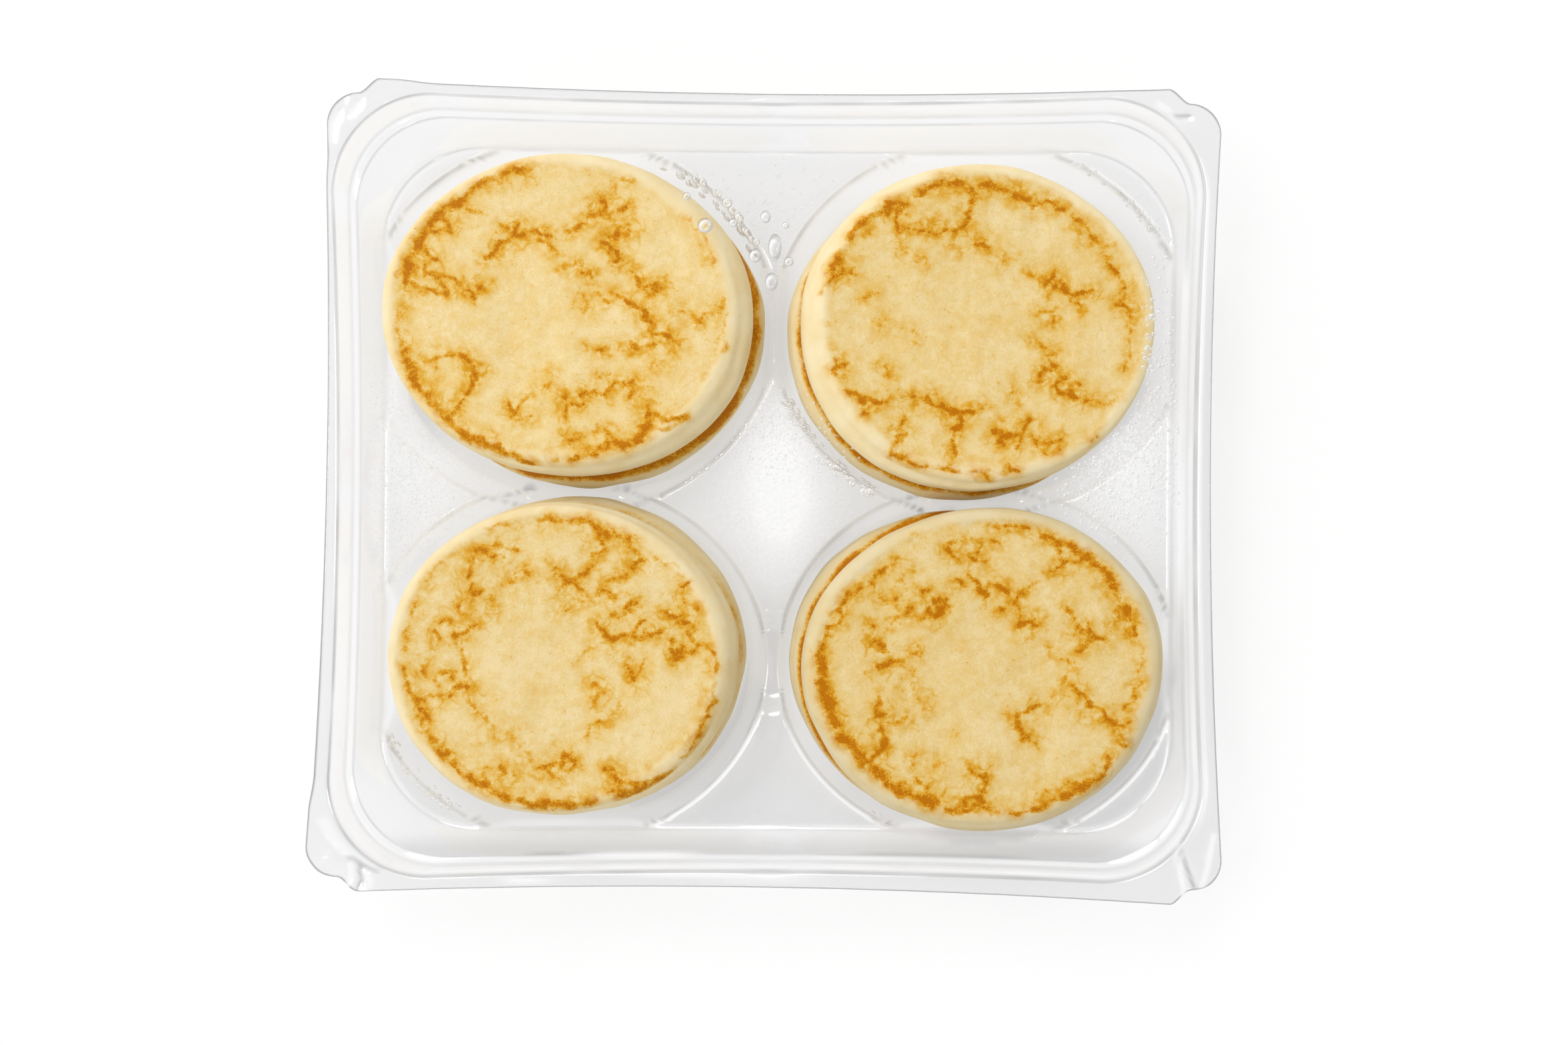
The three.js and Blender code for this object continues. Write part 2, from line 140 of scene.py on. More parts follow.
# Browning of the four upper faces, drawn as strokes in millimetres from each blini's middle, x to the right
# and y to the rear. Each stroke is (kind, x, y, x, y and so on); KINDS has a kind's strength and half width.
KINDS = {
    "bold": (0.97, 1.6), "band": (0.9, 1.3), "dark": (0.95, 0.85), "mid": (0.78, 0.8), "faint": (0.5, 0.85),
    "veil": (0.25, 2.4),
}
BROWNING = {
    "rear_left": [
        ("band", -12, 37, -17, 36, -21, 34, -25, 31.5, -28, 29, -33, 25.5, -36, 21, -38, 18),
        ("band", -38, 18, -39, 15, -40, 12, -41, 8), ("faint", -30, 28, -27, 27, -21, 26),
        ("mid", -33, 26, -30, 24, -29, 21.5, -34, 21.5), ("faint", -41, 6, -42, 2, -42.5, -3, -42, -7),
        ("band", -41.5, -8, -40, -12, -38.5, -16, -36, -19.5, -33, -23, -30, -26, -26, -29),
        ("band", -26, -29, -22, -31.5, -17, -33.5, -13, -35), ("mid", -30, -25, -28, -23, -26, -21),
        ("mid", -12, -36, -9, -36.5), ("mid", -4, -36, -2.5, -36),
        ("band", 1, -35.5, 5, -33.5, 9, -33, 13, -31.5), ("mid", 1, -31, 4, -29.5),
        ("mid", 6, -28.5, 9, -28.5, 11, -30), ("band", 12, -31, 16, -31.5, 18, -30, 20, -27),
        ("mid", 20, -27, 20, -24.5, 25, -25, 29, -24.5), ("faint", 21, -28, 26, -27, 30, -24),
        ("mid", -36, -12, -34, -10.3, -30, -9.6, -26, -9.8),
        ("dark", -26, -9.8, -24, -11, -23, -14, -23.5, -17.5, -25.5, -19),
        ("dark", -20.5, 14.5, -18.5, 16, -17, 18.5, -14.5, 20, -11, 20.5),
        ("dark", -9, 21.5, -6.5, 20.8, -4.5, 20), ("mid", -17, 23, -15, 21, -13, 22, -12, 23),
        ("mid", -8, 19, -5, 18, -3.5, 16.5), ("dark", 0, 21, 2, 23, 4, 23.5),
        ("dark", 5, 25, 7, 25.5, 9, 28, 8, 29), ("faint", 10, 30, 11, 32, 12, 34, 16, 34),
        ("mid", 10, 25.5, 11, 27, 14, 28), ("faint", 9, 30, 7, 32), ("dark", 14.5, 21, 12, 20.5, 10, 20),
        ("mid", 15, 23.5, 12, 23, 11.5, 21), ("dark", 8, 19, 10, 18, 12.5, 17, 13.5, 14.5, 12, 14),
        ("mid", 15, 12, 17.5, 10.5, 18, 8.5), ("dark", 18, 8.5, 20, 7.5, 22.5, 8, 21.5, 6),
        ("mid", 11, 6.5, 13, 5.5, 15, 4), ("dark", 15, 4, 17, 3, 19, 1.5, 20, 0.5),
        ("mid", 18.5, -0.5, 21.5, -1, 21, -3), ("dark", 21, -4.5, 23, -4, 25, -4.5, 27, -6, 28, -7),
        ("mid", 15, -6.5, 15.5, -8, 18, -8, 22, -7), ("mid", 6, -7.5, 8, -8.5, 9, -9),
        ("faint", 27, 2, 31, 1.5, 33, -0.5, 37, 1.5, 38.5, 4.5), ("veil", 30, -2, 34, -4, 38, -9),
        ("faint", 21, -13, 21, -11, 23.5, -11),
        ("mid", 16.5, -15.5, 14, -17, 12, -16, 11, -17.5, 8, -19, 3, -19.5), ("mid", 16.5, -16, 16, -20),
        ("mid", -1.5, -20, 1, -21.5, 3, -22, 5, -21), ("mid", 0, -22, -0.5, -25),
        ("mid", 18, -23, 20, -22, 20, -24), ("mid", -15, -20.5, -14.5, -22, -13, -24.5, -12, -22, -10, -20),
        ("faint", -15, -25.5, -11, -26, -9, -25), ("faint", -7, -17, -4, -18, -1, -20),
        ("dark", -36, 15.5, -33, 15), ("mid", -36.5, 13.5, -36, 11.5, -33, 10.5, -31.5, 8, -30, 6),
        ("mid", -33, 10, -29, 10, -27, 7.5), ("mid", -39, 8, -36, 7, -33, 6, -30, 6),
        ("dark", -25.5, 6, -24, 5.3, -22, 7), ("faint", 30, 25, 33, 21.5, 35, 18, 36, 14),
        ("faint", 38.5, 5, 39, -2, 39, -8), ("mid", 3, 11, 5.5, 11.5, 5, 10),
        ("faint", -3, 11, -1, 13, 3, 14), ("faint", 1, 4.5, 1, 2.5, 3, 1.5, 5, 3, 4, 5, 7, 6.5, 9.5, 4.5),
        ("faint", 6, -15.5, 9, -15.5, 10, -14),
    ],
    "rear_right": [
        ("band", -15, 34, -12, 35, -10, 36.3, -8, 37), ("dark", -6, 36.5, -3, 37.3),
        ("band", 2, 36.3, 4, 36.5, 7, 36), ("band", 9, 35.3, 11, 34, 14, 32.7),
        ("dark", 15, 31, 17, 31.7, 19, 32, 22, 31),
        ("band", -31, 23, -29, 25.5, -26, 27, -23, 29, -20, 31, -18, 31.5),
        ("dark", -19, 30, -18.7, 27, -18.5, 25, -16, 24.5, -14, 25), ("mid", -13, 25, -10, 24.5, -7, 25.3),
        ("dark", -7, 25.3, -5, 24.5, -3, 26, -1.5, 27.5, 0, 30, 0.3, 33, 0, 35),
        ("faint", -4.5, 24, -4, 22, -3.5, 20.5), ("faint", -19, 24, -18.5, 21, -16, 19),
        ("mid", 0, 21, 2, 21.5, 4, 20.3), ("faint", 1, 24.5, 3.5, 23),
        ("band", -33, 19.5, -33, 17, -34.5, 15), ("mid", -35.5, 12, -34, 14, -32, 15, -29, 14),
        ("faint", -37, 11, -37.5, 9), ("mid", 25, 28.5, 27, 27.5, 29, 25, 30.5, 22, 34, 20.7),
        ("mid", 33, 19, 34, 16.5, 36, 15, 38, 12, 38.5, 9), ("mid", 36, 6.5, 39, 6, 39.5, 3),
        ("faint", 39.8, 1, 39.5, -6, 38, -10), ("mid", 13, 15, 15, 14, 16.5, 14.5),
        ("dark", 18, 12, 20, 13.5, 20.5, 15), ("dark", 20, 11, 22, 12, 23.5, 11),
        ("dark", 23, 10.5, 25, 9.5, 27, 9, 30, 10), ("mid", 25, 7.5, 27, 6),
        ("mid", 17, 5, 20, 4.5, 22, 5.5), ("mid", 20, 3.5, 19.5, 1), ("faint", 16, -2.5, 18.5, -4),
        ("dark", 21.5, -5.3, 19.5, -6, 20, -8, 21.5, -9), ("mid", 20, -9.5, 18, -9.7, 17, -11, 16.7, -12.5),
        ("mid", 23, -11.5, 25, -12, 26.5, -13.5), ("dark", 23.5, -12.3, 22, -13.7, 22.5, -15.5, 25, -16),
        ("dark", 25, -16, 27.5, -17, 30, -17), ("faint", 31, -18, 34, -17.5, 36.5, -16.5),
        ("mid", -31, -8.5, -34, -9, -35, -10.3, -33, -11.5), ("faint", -36, -6.5, -34, -7.5),
        ("mid", -32, -15, -29, -15.5, -28, -17), ("dark", -28, -17, -25, -18, -23, -19, -21.5, -18),
        ("mid", -27, -21, -25, -20), ("mid", -22, -9, -21.5, -11.5),
        ("mid", -17, -16.5, -14, -17, -11, -17.5),
        ("dark", -11, -17.5, -8, -19, -5, -20.5, -3, -22, -2, -24), ("dark", -5, -20, -2, -20.3, 0, -21),
        ("faint", 0, -20.5, 2, -19.5, 1.5, -18.3), ("faint", -13, -18, -14.5, -20),
        ("mid", -3.5, -24, -4.5, -27, -4, -28, -5, -31, -5, -34), ("dark", 5, -25, 8, -25, 7, -27.5),
        ("dark", 9, -26, 11, -25.5, 13, -24, 14.5, -22.5), ("mid", 12, -26.5, 12, -29),
        ("mid", 15, -26, 17, -28, 20, -28, 22, -27.5), ("mid", 18, -30, 19, -31, 22, -30),
        ("faint", 9.5, -13, 11, -17, 12, -19), ("mid", 8.5, -33.5, 10, -35, 12, -35),
        ("dark", 3.7, -36, 4.2, -36.3), ("dark", -20.5, -30, -18.5, -28.7),
        ("mid", -20, -31, -17, -32, -15.5, -31), ("mid", -17, -32.5, -13, -34, -8, -35, -4, -35),
        ("faint", -4, -35, 0, -35.5, 5, -35, 9, -35), ("mid", -17, -22, -17, -24, -16, -26, -18, -27),
        ("faint", -28, 6.5, -27, 8, -24, 8.7), ("faint", -25, 2, -22, 3.5, -23, 1),
        ("faint", -38, 2.5, -35, 1, -33, 2.5), ("faint", -15, -0.5, -13.5, -3),
        ("faint", -14, 19, -12, 17.5), ("faint", 6.5, 18.3, 8, 17.3, 10, 17.5),
        ("dark", 30.5, -27.2, 31.3, -26.8),
    ],
    "front_left": [
        ("mid", -6, 36, 0, 35.5, 3, 35.3, 6, 35.3, 8, 33.8), ("band", 8, 33.3, 11, 32, 14, 31.5, 15.5, 31),
        ("faint", -20, 33.3, -17, 34.3, -12, 35), ("dark", 15.5, 30, 17.5, 28, 19, 26, 18, 24.5, 17, 24),
        ("faint", 19, 26, 25, 26, 28, 24), ("mid", 8.5, 31.5, 10, 29, 9, 28, 7, 28),
        ("mid", 8.5, 25, 6.5, 24, 6, 22.5), ("dark", 5.5, 22, 4, 21.5, 2, 20.5, 0, 21, -1, 22.5, -2, 24),
        ("mid", 2, 20, -0.5, 19, -1, 17.5), ("mid", 3, 20, 5, 18.5, 7, 17.3, 9, 18.5, 11, 18, 12.5, 17),
        ("mid", 10, 20.5, 13, 21, 15, 22, 14.5, 23.5), ("dark", -22, 28, -19, 28.5, -17, 28, -17.5, 26.5),
        ("mid", -17, 30, -15, 28.5, -12, 28), ("mid", -22, 26.5, -23.5, 24, -24, 21),
        ("mid", -22.5, 19.3, -24, 17.5, -22, 16.5, -20.5, 18), ("mid", -24.5, 15, -26, 13, -24.5, 12),
        ("faint", -18.5, 17, -17, 15, -17, 13), ("mid", -9, 23, -8.3, 22.5),
        ("faint", -15, 20, -12, 21, -11, 23), ("mid", -30.5, 9.5, -29.5, 11, -27.5, 10.5),
        ("mid", -32, 7.5, -31, 5.5), ("mid", -27, 6.3, -24, 7, -22, 9), ("faint", -29, 4, -26, 3, -24, 0),
        ("mid", 9, 10, 10, 8, 11, 7), ("dark", 11, 7, 14, 7, 17, 6.5, 19, 6.5, 22, 6.5),
        ("mid", 22, 6.5, 25, 8), ("mid", 17.5, 8, 19, 9.5, 21, 10.3), ("dark", 17, 16, 18.3, 16),
        ("mid", 12, 11.5, 15, 12, 18, 14.3, 16, 14), ("faint", 12, 6, 12, 3, 14, 1.5),
        ("mid", 15, 0, 17, -1.5, 18, -4, 19, -2, 20, 0), ("mid", 31.3, 20.5, 30, 18, 31, 15, 34, 14),
        ("mid", 25, 13.3, 27, 12, 29, 12.3), ("dark", 28.5, 10, 31, 9.7, 33, 9),
        ("mid", 31, 7.3, 32, 6, 34, 4.5, 32, 3), ("dark", 27, 5, 27.5, 3, 29, 1.5, 30, 4),
        ("mid", 35, 5, 37, 3, 38.5, 0.5, 38, -1.5), ("faint", 38, -4, 37.5, -8),
        ("mid", 38, -8.5, 37, -11, 35.5, -15, 34, -18, 32, -21, 30, -24),
        ("band", 28, -26.5, 25, -28.3, 21, -30, 18, -32, 14, -33),
        ("dark", 10.5, -26.5, 12.5, -27, 13, -29.5, 15, -30, 19, -30), ("mid", 11, -32, 14, -31),
        ("band", 8, -34.5, 4, -35.5, 1, -36, -3, -35.3),
        ("band", -4, -35.5, -7, -35.5, -10, -34.7, -13, -34.5), ("mid", -5.5, -26, -2, -25.5, 0, -25),
        ("dark", 0, -25, 1, -23, 3, -24.5, 2.5, -26.5), ("mid", -4, -27, -2.5, -28.5, 0, -30.5),
        ("mid", -15, -26, -14, -27.5, -16, -28.5), ("faint", -12, -28, -8, -28.5, -5, -29),
        ("faint", -20, -26, -18, -27.5), ("dark", -40, -1.5, -39.5, -3.5),
        ("band", -38.7, -6, -36.5, -10, -35, -12.5, -35, -15, -34, -17.5, -32, -20, -29.5, -23),
        ("band", -29.5, -23, -27, -26, -24, -28.5, -20, -30, -17, -32, -14, -34),
        ("mid", -37, -10, -34, -9.5, -31, -8.5, -28, -8.7, -26, -7.5), ("mid", -35.5, -1.5, -34, -3),
        ("mid", -31, -3, -32, -4.5, -31, -6), ("mid", -30, -2, -27, -2.3, -28, -3.3),
        ("mid", -27, -6, -24, -6.5), ("faint", -25, 5, -24.5, -2, -23.5, -8, -20, -13),
        ("faint", -39.5, 3, -39, 7, -38.5, 11, -37, 15), ("faint", -31, 25, -34, 20),
        ("mid", 8, -5, 10, -7, 8.5, -9, 9, -11), ("mid", 11, -14, 9, -15.3, 7, -16, 6, -18.5),
        ("faint", 14.5, -9, 13.5, -11.5), ("faint", -19, -14, -17, -17, -16, -19),
        ("faint", -13, -18, -11, -20, -9, -22, -8, -25), ("faint", -1, 13.5, 3, 14.5, 5, 15.5),
        ("faint", 7, 4, 5, 2, 4, 0.5),
    ],
    "front_right": [
        ("mid", -34, 18.5, -30, 21.5, -27, 24, -23, 26.5, -22, 28),
        ("mid", -34.4, 18.8, -36, 16.3, -38.1, 14.2),
        ("mid", -36.4, 15.4, -36, 12.9, -38.1, 10.8, -39.9, 10),
        ("mid", -39.3, 9.8, -40.3, 6.6, -41.3, 3.7),
        ("bold", -40.7, 3.5, -40.9, -0.9, -40.7, -3.8, -39.8, -6.3, -39.2, -8.8),
        ("bold", -39.2, -8.8, -38.1, -11.7, -37, -14.2, -36, -16.7, -34.1, -18.7, -32, -20.8),
        ("bold", -32, -20.8, -29.9, -22.7, -27.4, -24.5, -25.3, -26.6, -23.2, -28.7, -20.7, -30.5),
        ("band", -20.7, -30.5, -19, -31.3), ("band", -16, -31.5, -14, -33, -12, -33),
        ("band", -9, -34.5, -6, -35, -3, -34.3, 0, -34.5, 3.5, -35), ("dark", -6.5, -33, -3, -32, 0, -33),
        ("mid", 6, -36, 9, -35.5, 13, -34.3), ("band", 13, -34, 16, -33, 20, -31.5, 24, -29.5),
        ("band", 24, -29.5, 28, -26.5, 30.5, -24, 32, -21), ("mid", 14, -32, 15, -30),
        ("dark", -0.5, -33, -0.5, -30, 0.7, -27.5, 0, -25.7), ("mid", 0, -25.7, -2, -26, -3.3, -24),
        ("mid", -14, -32, -14, -28.5, -16.5, -27), ("faint", -13, -24.5, -12, -22.5),
        ("faint", -18, -25, -19, -22, -17, -21), ("faint", -30, -1, -28, -3), ("mid", -27, -6.5, -27, -9),
        ("dark", -27.5, -11.3, -25, -11.3),
        ("dark", -27, -14, -25.5, -16, -25, -18, -26, -20, -28.5, -21.5),
        ("mid", -24, -13.5, -22, -14, -20, -12), ("mid", -29, 12, -28.3, 10.5),
        ("mid", -28, 7.5, -26, 6, -27.5, 5, -25, 4.5), ("dark", -26.7, 1, -25, 2, -22, 2.5),
        ("mid", -22, 2.5, -19, 3.5, -16, 4.5, -17, 6), ("faint", -18, 0, -17.3, -2.5, -18, -5),
        ("faint", -15, -7.5, -15, -10), ("dark", -16, 19, -14.5, 20),
        ("dark", -13.5, 18, -12, 16, -13, 14, -14.5, 15.5), ("dark", -10, 17.5, -11, 14.7, -13, 13.5),
        ("dark", -20, 15, -18.5, 15.5, -19.5, 14), ("mid", -26, 18, -24, 17.3, -22.5, 18.5),
        ("faint", -22, 13, -25, 10), ("faint", -17, 25, -20, 24, -22, 21.5), ("faint", -19, 33, -17, 33.5),
        ("faint", -10, 32, -6, 33), ("mid", -10, 30.5, -8, 29, -6, 27),
        ("mid", -4.5, 28.5, -3, 27.5, -2, 29.5, -1, 31), ("mid", -2, 27, 1, 28),
        ("dark", -7.3, 22.3, -6, 21.5), ("dark", -4.5, 23.3, -3, 22.7, -2, 21.3, -1, 19.5, 0.3, 18.7),
        ("mid", -1, 20, 0, 21.5), ("dark", 2, 21, 4, 21, 5, 20), ("mid", 3, 15, 5, 16, 7, 17),
        ("dark", 7, 17, 8, 18.5, 9, 20), ("faint", 9, 20.5, 11, 21, 13, 22), ("mid", 8, 17, 9, 14.5, 8, 12),
        ("dark", 7.5, 11.5, 9, 11.5, 11, 12.5, 12.5, 11.3), ("faint", 10, 7.5, 12, 8, 12.5, 9.5),
        ("mid", 1.5, 32.5, 3, 32), ("mid", 2, 36.5, 5, 36, 7, 36, 10, 35.5),
        ("band", 14, 34.5, 15.5, 33.7, 17, 33, 18.5, 31.3), ("band", 21, 31.7, 23, 30.3, 25, 28.7),
        ("mid", 18, 30.5, 20, 28, 22.5, 27.5, 25, 28), ("mid", 20.3, 27.3, 18, 25.5, 16, 25),
        ("band", 25.5, 28, 27.5, 26.5, 29, 25, 31, 22.5, 32, 20, 33, 17, 35, 15),
        ("dark", 35, 15, 37, 12.5, 38, 10.5, 36, 9.5), ("mid", 32, 15.5, 33, 14),
        ("faint", 30, 11, 34, 10.7, 37, 9.5), ("mid", 20, 16, 21.5, 13.7, 22.5, 11),
        ("dark", 24, 9.7, 26, 10, 27, 8.5), ("mid", 27, 8.5, 30, 8.5),
        ("dark", 26, 8, 25, 6.3, 24, 5.5, 22.7, 5.7), ("faint", 39, 6, 39.5, 3, 38, 0),
        ("mid", 39.3, -2, 37, -5, 37.5, -7, 35, -9), ("faint", 16, 6, 18, 4, 20, 3, 23, 2.5, 22, 1),
        ("mid", 20, -1, 20, -3, 22, -3.5, 24, -5.5, 26, -8), ("mid", 26, -8, 28, -9, 30, -10.5, 31, -12.5),
        ("dark", 31, -12.5, 33, -13.7, 36, -13), ("faint", 16, -7, 18, -5),
        ("dark", 6.5, -11.5, 8, -11, 9, -12.5, 9, -14),
        ("mid", 9, -14, 10, -16, 9, -17.3, 12, -17.5, 12.7, -19.5),
        ("mid", 9, -10.5, 10, -10, 12, -9, 13, -8.5), ("mid", 33.5, -18.3, 35, -18.7),
        ("faint", -8, -17, -7, -15.5),
    ],
}


def mix(low, high, share):
    return low + (high - low) * share


def ease(value, low, high):
    """0 up to low and 1 from high on, easing in and out between them."""
    share = np.clip((value - low) / (high - low), 0, 1)
    return share * share * (3 - 2 * share)


def pairs(numbers):
    """A run of x, y, x, y and so on as points."""
    return np.array(numbers, dtype=float).reshape(-1, 2)


def bell(value, middle, width):
    """1 at the middle, fading over width to each side."""
    return np.exp(-(((value - middle) / width) ** 2))


def spots(x, y, table):
    """The sum of soft spots given as (middle x, spread in X, middle y, spread in Y, strength)."""
    total = np.zeros(np.shape(x))
    for middle_x, spread_x, middle_y, spread_y, strength in table:
        total += strength * bell(x, middle_x, spread_x) * bell(y, middle_y, spread_y)
    return total


def wander(x, y, size, seed):
    """Smooth random values from -1 to 1 over the plane, in patches about size across."""
    table = np.random.default_rng(seed).uniform(-1, 1, (128, 128))
    x, y = np.asarray(x) / size + 500, np.asarray(y) / size + 500
    column, row = np.floor(x).astype(int), np.floor(y).astype(int)
    across, up = x - column, y - row
    across, up = across * across * (3 - 2 * across), up * up * (3 - 2 * up)
    left, right, low, high = column % 128, (column + 1) % 128, row % 128, (row + 1) % 128
    below = mix(table[left, low], table[right, low], across)
    above = mix(table[left, high], table[right, high], across)
    return mix(below, above, up)


def srgb(red, green, blue):
    """A colour given as it shows on screen, 0 to 255, as a linear RGBA value."""
    def linear(value):
        value /= 255
        return value / 12.92 if value <= 0.04045 else ((value + 0.055) / 1.055) ** 2.4
    return (linear(red), linear(green), linear(blue), 1.0)


def mesh_object(name, points, faces, material, attributes=None):
    """A smooth mesh object from points in millimetres, with float attributes at its points."""
    mesh = bpy.data.meshes.new(name)
    mesh.from_pydata((np.asarray(points) * MM).tolist(), [], faces)
    mesh.polygons.foreach_set("use_smooth", [True] * len(mesh.polygons))
    for key, values in (attributes or {}).items():
        attribute = mesh.attributes.new(key, "FLOAT", "POINT")
        attribute.data.foreach_set("value", np.asarray(values, dtype=np.float32))
    mesh.materials.append(material)
    mesh.update()
    made = bpy.data.objects.new(name, mesh)
    bpy.context.scene.collection.objects.link(made)
    return made


def add_piece(piece, node=None):
    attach(piece, "root")
    if node:
        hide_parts(node)
    return piece


class Shader:
    """A material's nodes, added one at a time."""

    def __init__(self, name):
        self.material = bpy.data.materials.new(name)
        self.material.use_nodes = True
        self.nodes = self.material.node_tree.nodes
        self.links = self.material.node_tree.links
        self.nodes.clear()
        self.output = self.nodes.new("ShaderNodeOutputMaterial")

    def add(self, kind, inputs=None, output=0, **settings):
        made = self.nodes.new("ShaderNode" + kind)
        for key, value in settings.items():
            setattr(made, key, value)
        for key, value in (inputs or {}).items():
            self.feed(value, made.inputs[key])
        return made.outputs[output]

    def feed(self, value, socket):
        if isinstance(value, bpy.types.NodeSocket):
            self.links.new(value, socket)
        else:
            socket.default_value = value

    def math(self, operation, first, second=0.0, third=0.0):
        return self.add("Math", {0: first, 1: second, 2: third}, operation=operation)

    def ramp(self, value, low, high, to_low=0.0, to_high=1.0):
        inputs = {0: value, 1: low, 2: high, 3: to_low, 4: to_high}
        return self.add("MapRange", inputs, interpolation_type="SMOOTHSTEP")

    def noise(self, place, size, detail=2.0, rough=0.5):
        """Noise whose patches are about size millimetres across."""
        inputs = {"Vector": place, "Scale": 1 / (size * MM), "Detail": detail, "Roughness": rough}
        return self.add("TexNoise", inputs)

    def blend(self, share, first, second, **settings):
        return self.add("Mix", {0: share, 6: first, 7: second}, output=2, data_type="RGBA", **settings)

    def colours(self, value, stops):
        """A colour ramp through stops given as (position, red, green, blue), 0 to 255 as on screen."""
        made = self.nodes.new("ShaderNodeValToRGB")
        ramp = made.color_ramp.elements
        ramp[0].position, ramp[1].position = stops[0][0], stops[-1][0]
        for position, *_ in stops[1:-1]:
            ramp.new(position)
        for element, (_, *colour) in zip(ramp, stops):
            element.color = srgb(*colour)
        self.feed(value, made.inputs[0])
        return made.outputs[0]

    def attribute(self, name, output=2):
        return self.add("Attribute", output=output, attribute_name=name)

    def place(self):
        return self.add("TexCoord", output=3)

    def finish(self, shader):
        self.links.new(shader, self.output.inputs["Surface"])
        return self.material


def clear_material(name, clear, edge, gloss, rough, rim_gloss, frost_and_painted_glow_colour, even):
    """Thin clear plastic: see-through, with the tint clear face on, and the tint edge and more gloss edge on.
    It has painted grey shade along its folds, a white frost, partly a painted glow, which speckles thin out
    to
    the share even, and painted glints: highlights which glow with their own light."""
    s = Shader(name)
    facing = s.add("LayerWeight", {"Blend": 0.5}, output=1)
    tint = s.blend(s.math("POWER", facing, 1.6), (*clear, 1), (*edge, 1))
    # Painted shade: the tint turns grey where the sheet's folds and dim places are painted.
    tint = s.blend(s.math("MULTIPLY", s.attribute("painted_fold_shade"), 0.62), tint, (0.36, 0.36, 0.36, 1))
    through = s.add("BsdfTransparent", {"Color": tint})
    cloud = s.ramp(s.noise(s.place(), 11, 0), 0.3, 0.7, 0.7 * rough, 1.5 * rough)
    shine = s.add("BsdfAnisotropic", {"Color": (1, 1, 1, 1), "Roughness": cloud})
    share = s.math("MULTIPLY_ADD", s.math("POWER", facing, 5.0), rim_gloss, gloss)
    body = s.add("MixShader", {0: share, 1: through, 2: shine})
    speckle = s.ramp(s.noise(s.place(), 0.8, 1), 0.36, 0.66, even, 1.0)
    frost_and_painted_glow = s.math("MULTIPLY", s.attribute("frost_and_painted_glow"), speckle)
    matt = s.add("BsdfDiffuse", {"Color": frost_and_painted_glow_colour})
    body = s.add("MixShader", {0: frost_and_painted_glow, 1: body, 2: matt})
    # Painted highlights: glint lines glow with their own light, and no lamp is made of them.
    glow = s.add("Emission", {"Color": (1, 1, 1, 1)})
    s.material.cycles.emission_sampling = "NONE"
    return s.finish(s.add("MixShader", {0: s.attribute("painted_glint"), 1: body, 2: glow}))


def water_material():
    """Drops: see-through in the middle, with a painted highlight, a ring of diffuse white where the drop is
    seen aslant, and a thin darker rim.
    """
    s = Shader("water")
    facing = s.add("LayerWeight", {"Blend": 0.5}, output=1)
    rim = s.ramp(facing, 0.4, 0.7)
    through = s.add("BsdfTransparent", {"Color": s.blend(rim, (0.99, 0.99, 0.99, 1), (0.78, 0.77, 0.76, 1))})
    shine = s.add("BsdfAnisotropic", {"Color": (1, 1, 1, 1), "Roughness": 0.05})
    body = s.add("MixShader", {0: 0.04, 1: through, 2: shine})
    # Painted highlight: a ring of diffuse white where the drop's face slants away.
    ring = s.math("MULTIPLY", s.ramp(facing, 0.08, 0.22), s.ramp(facing, 0.36, 0.56, 0.8, 0.0))
    glow = s.add("BsdfDiffuse", {"Color": s.blend(rim, (0.97, 0.97, 0.97, 1), (0.9, 0.9, 0.9, 1))})
    return s.finish(s.add("MixShader", {0: ring, 1: body, 2: glow}))


# The colours of baking batter, from raw to brown, as (bake, red, green, blue).
BAKE = [
    (0.0, 247, 223, 168), (0.14, 242, 212, 145), (0.3, 238, 199, 115), (0.46, 233, 182, 78),
    (0.64, 226, 164, 40), (0.82, 215, 144, 18), (1.0, 196, 117, 0),
]


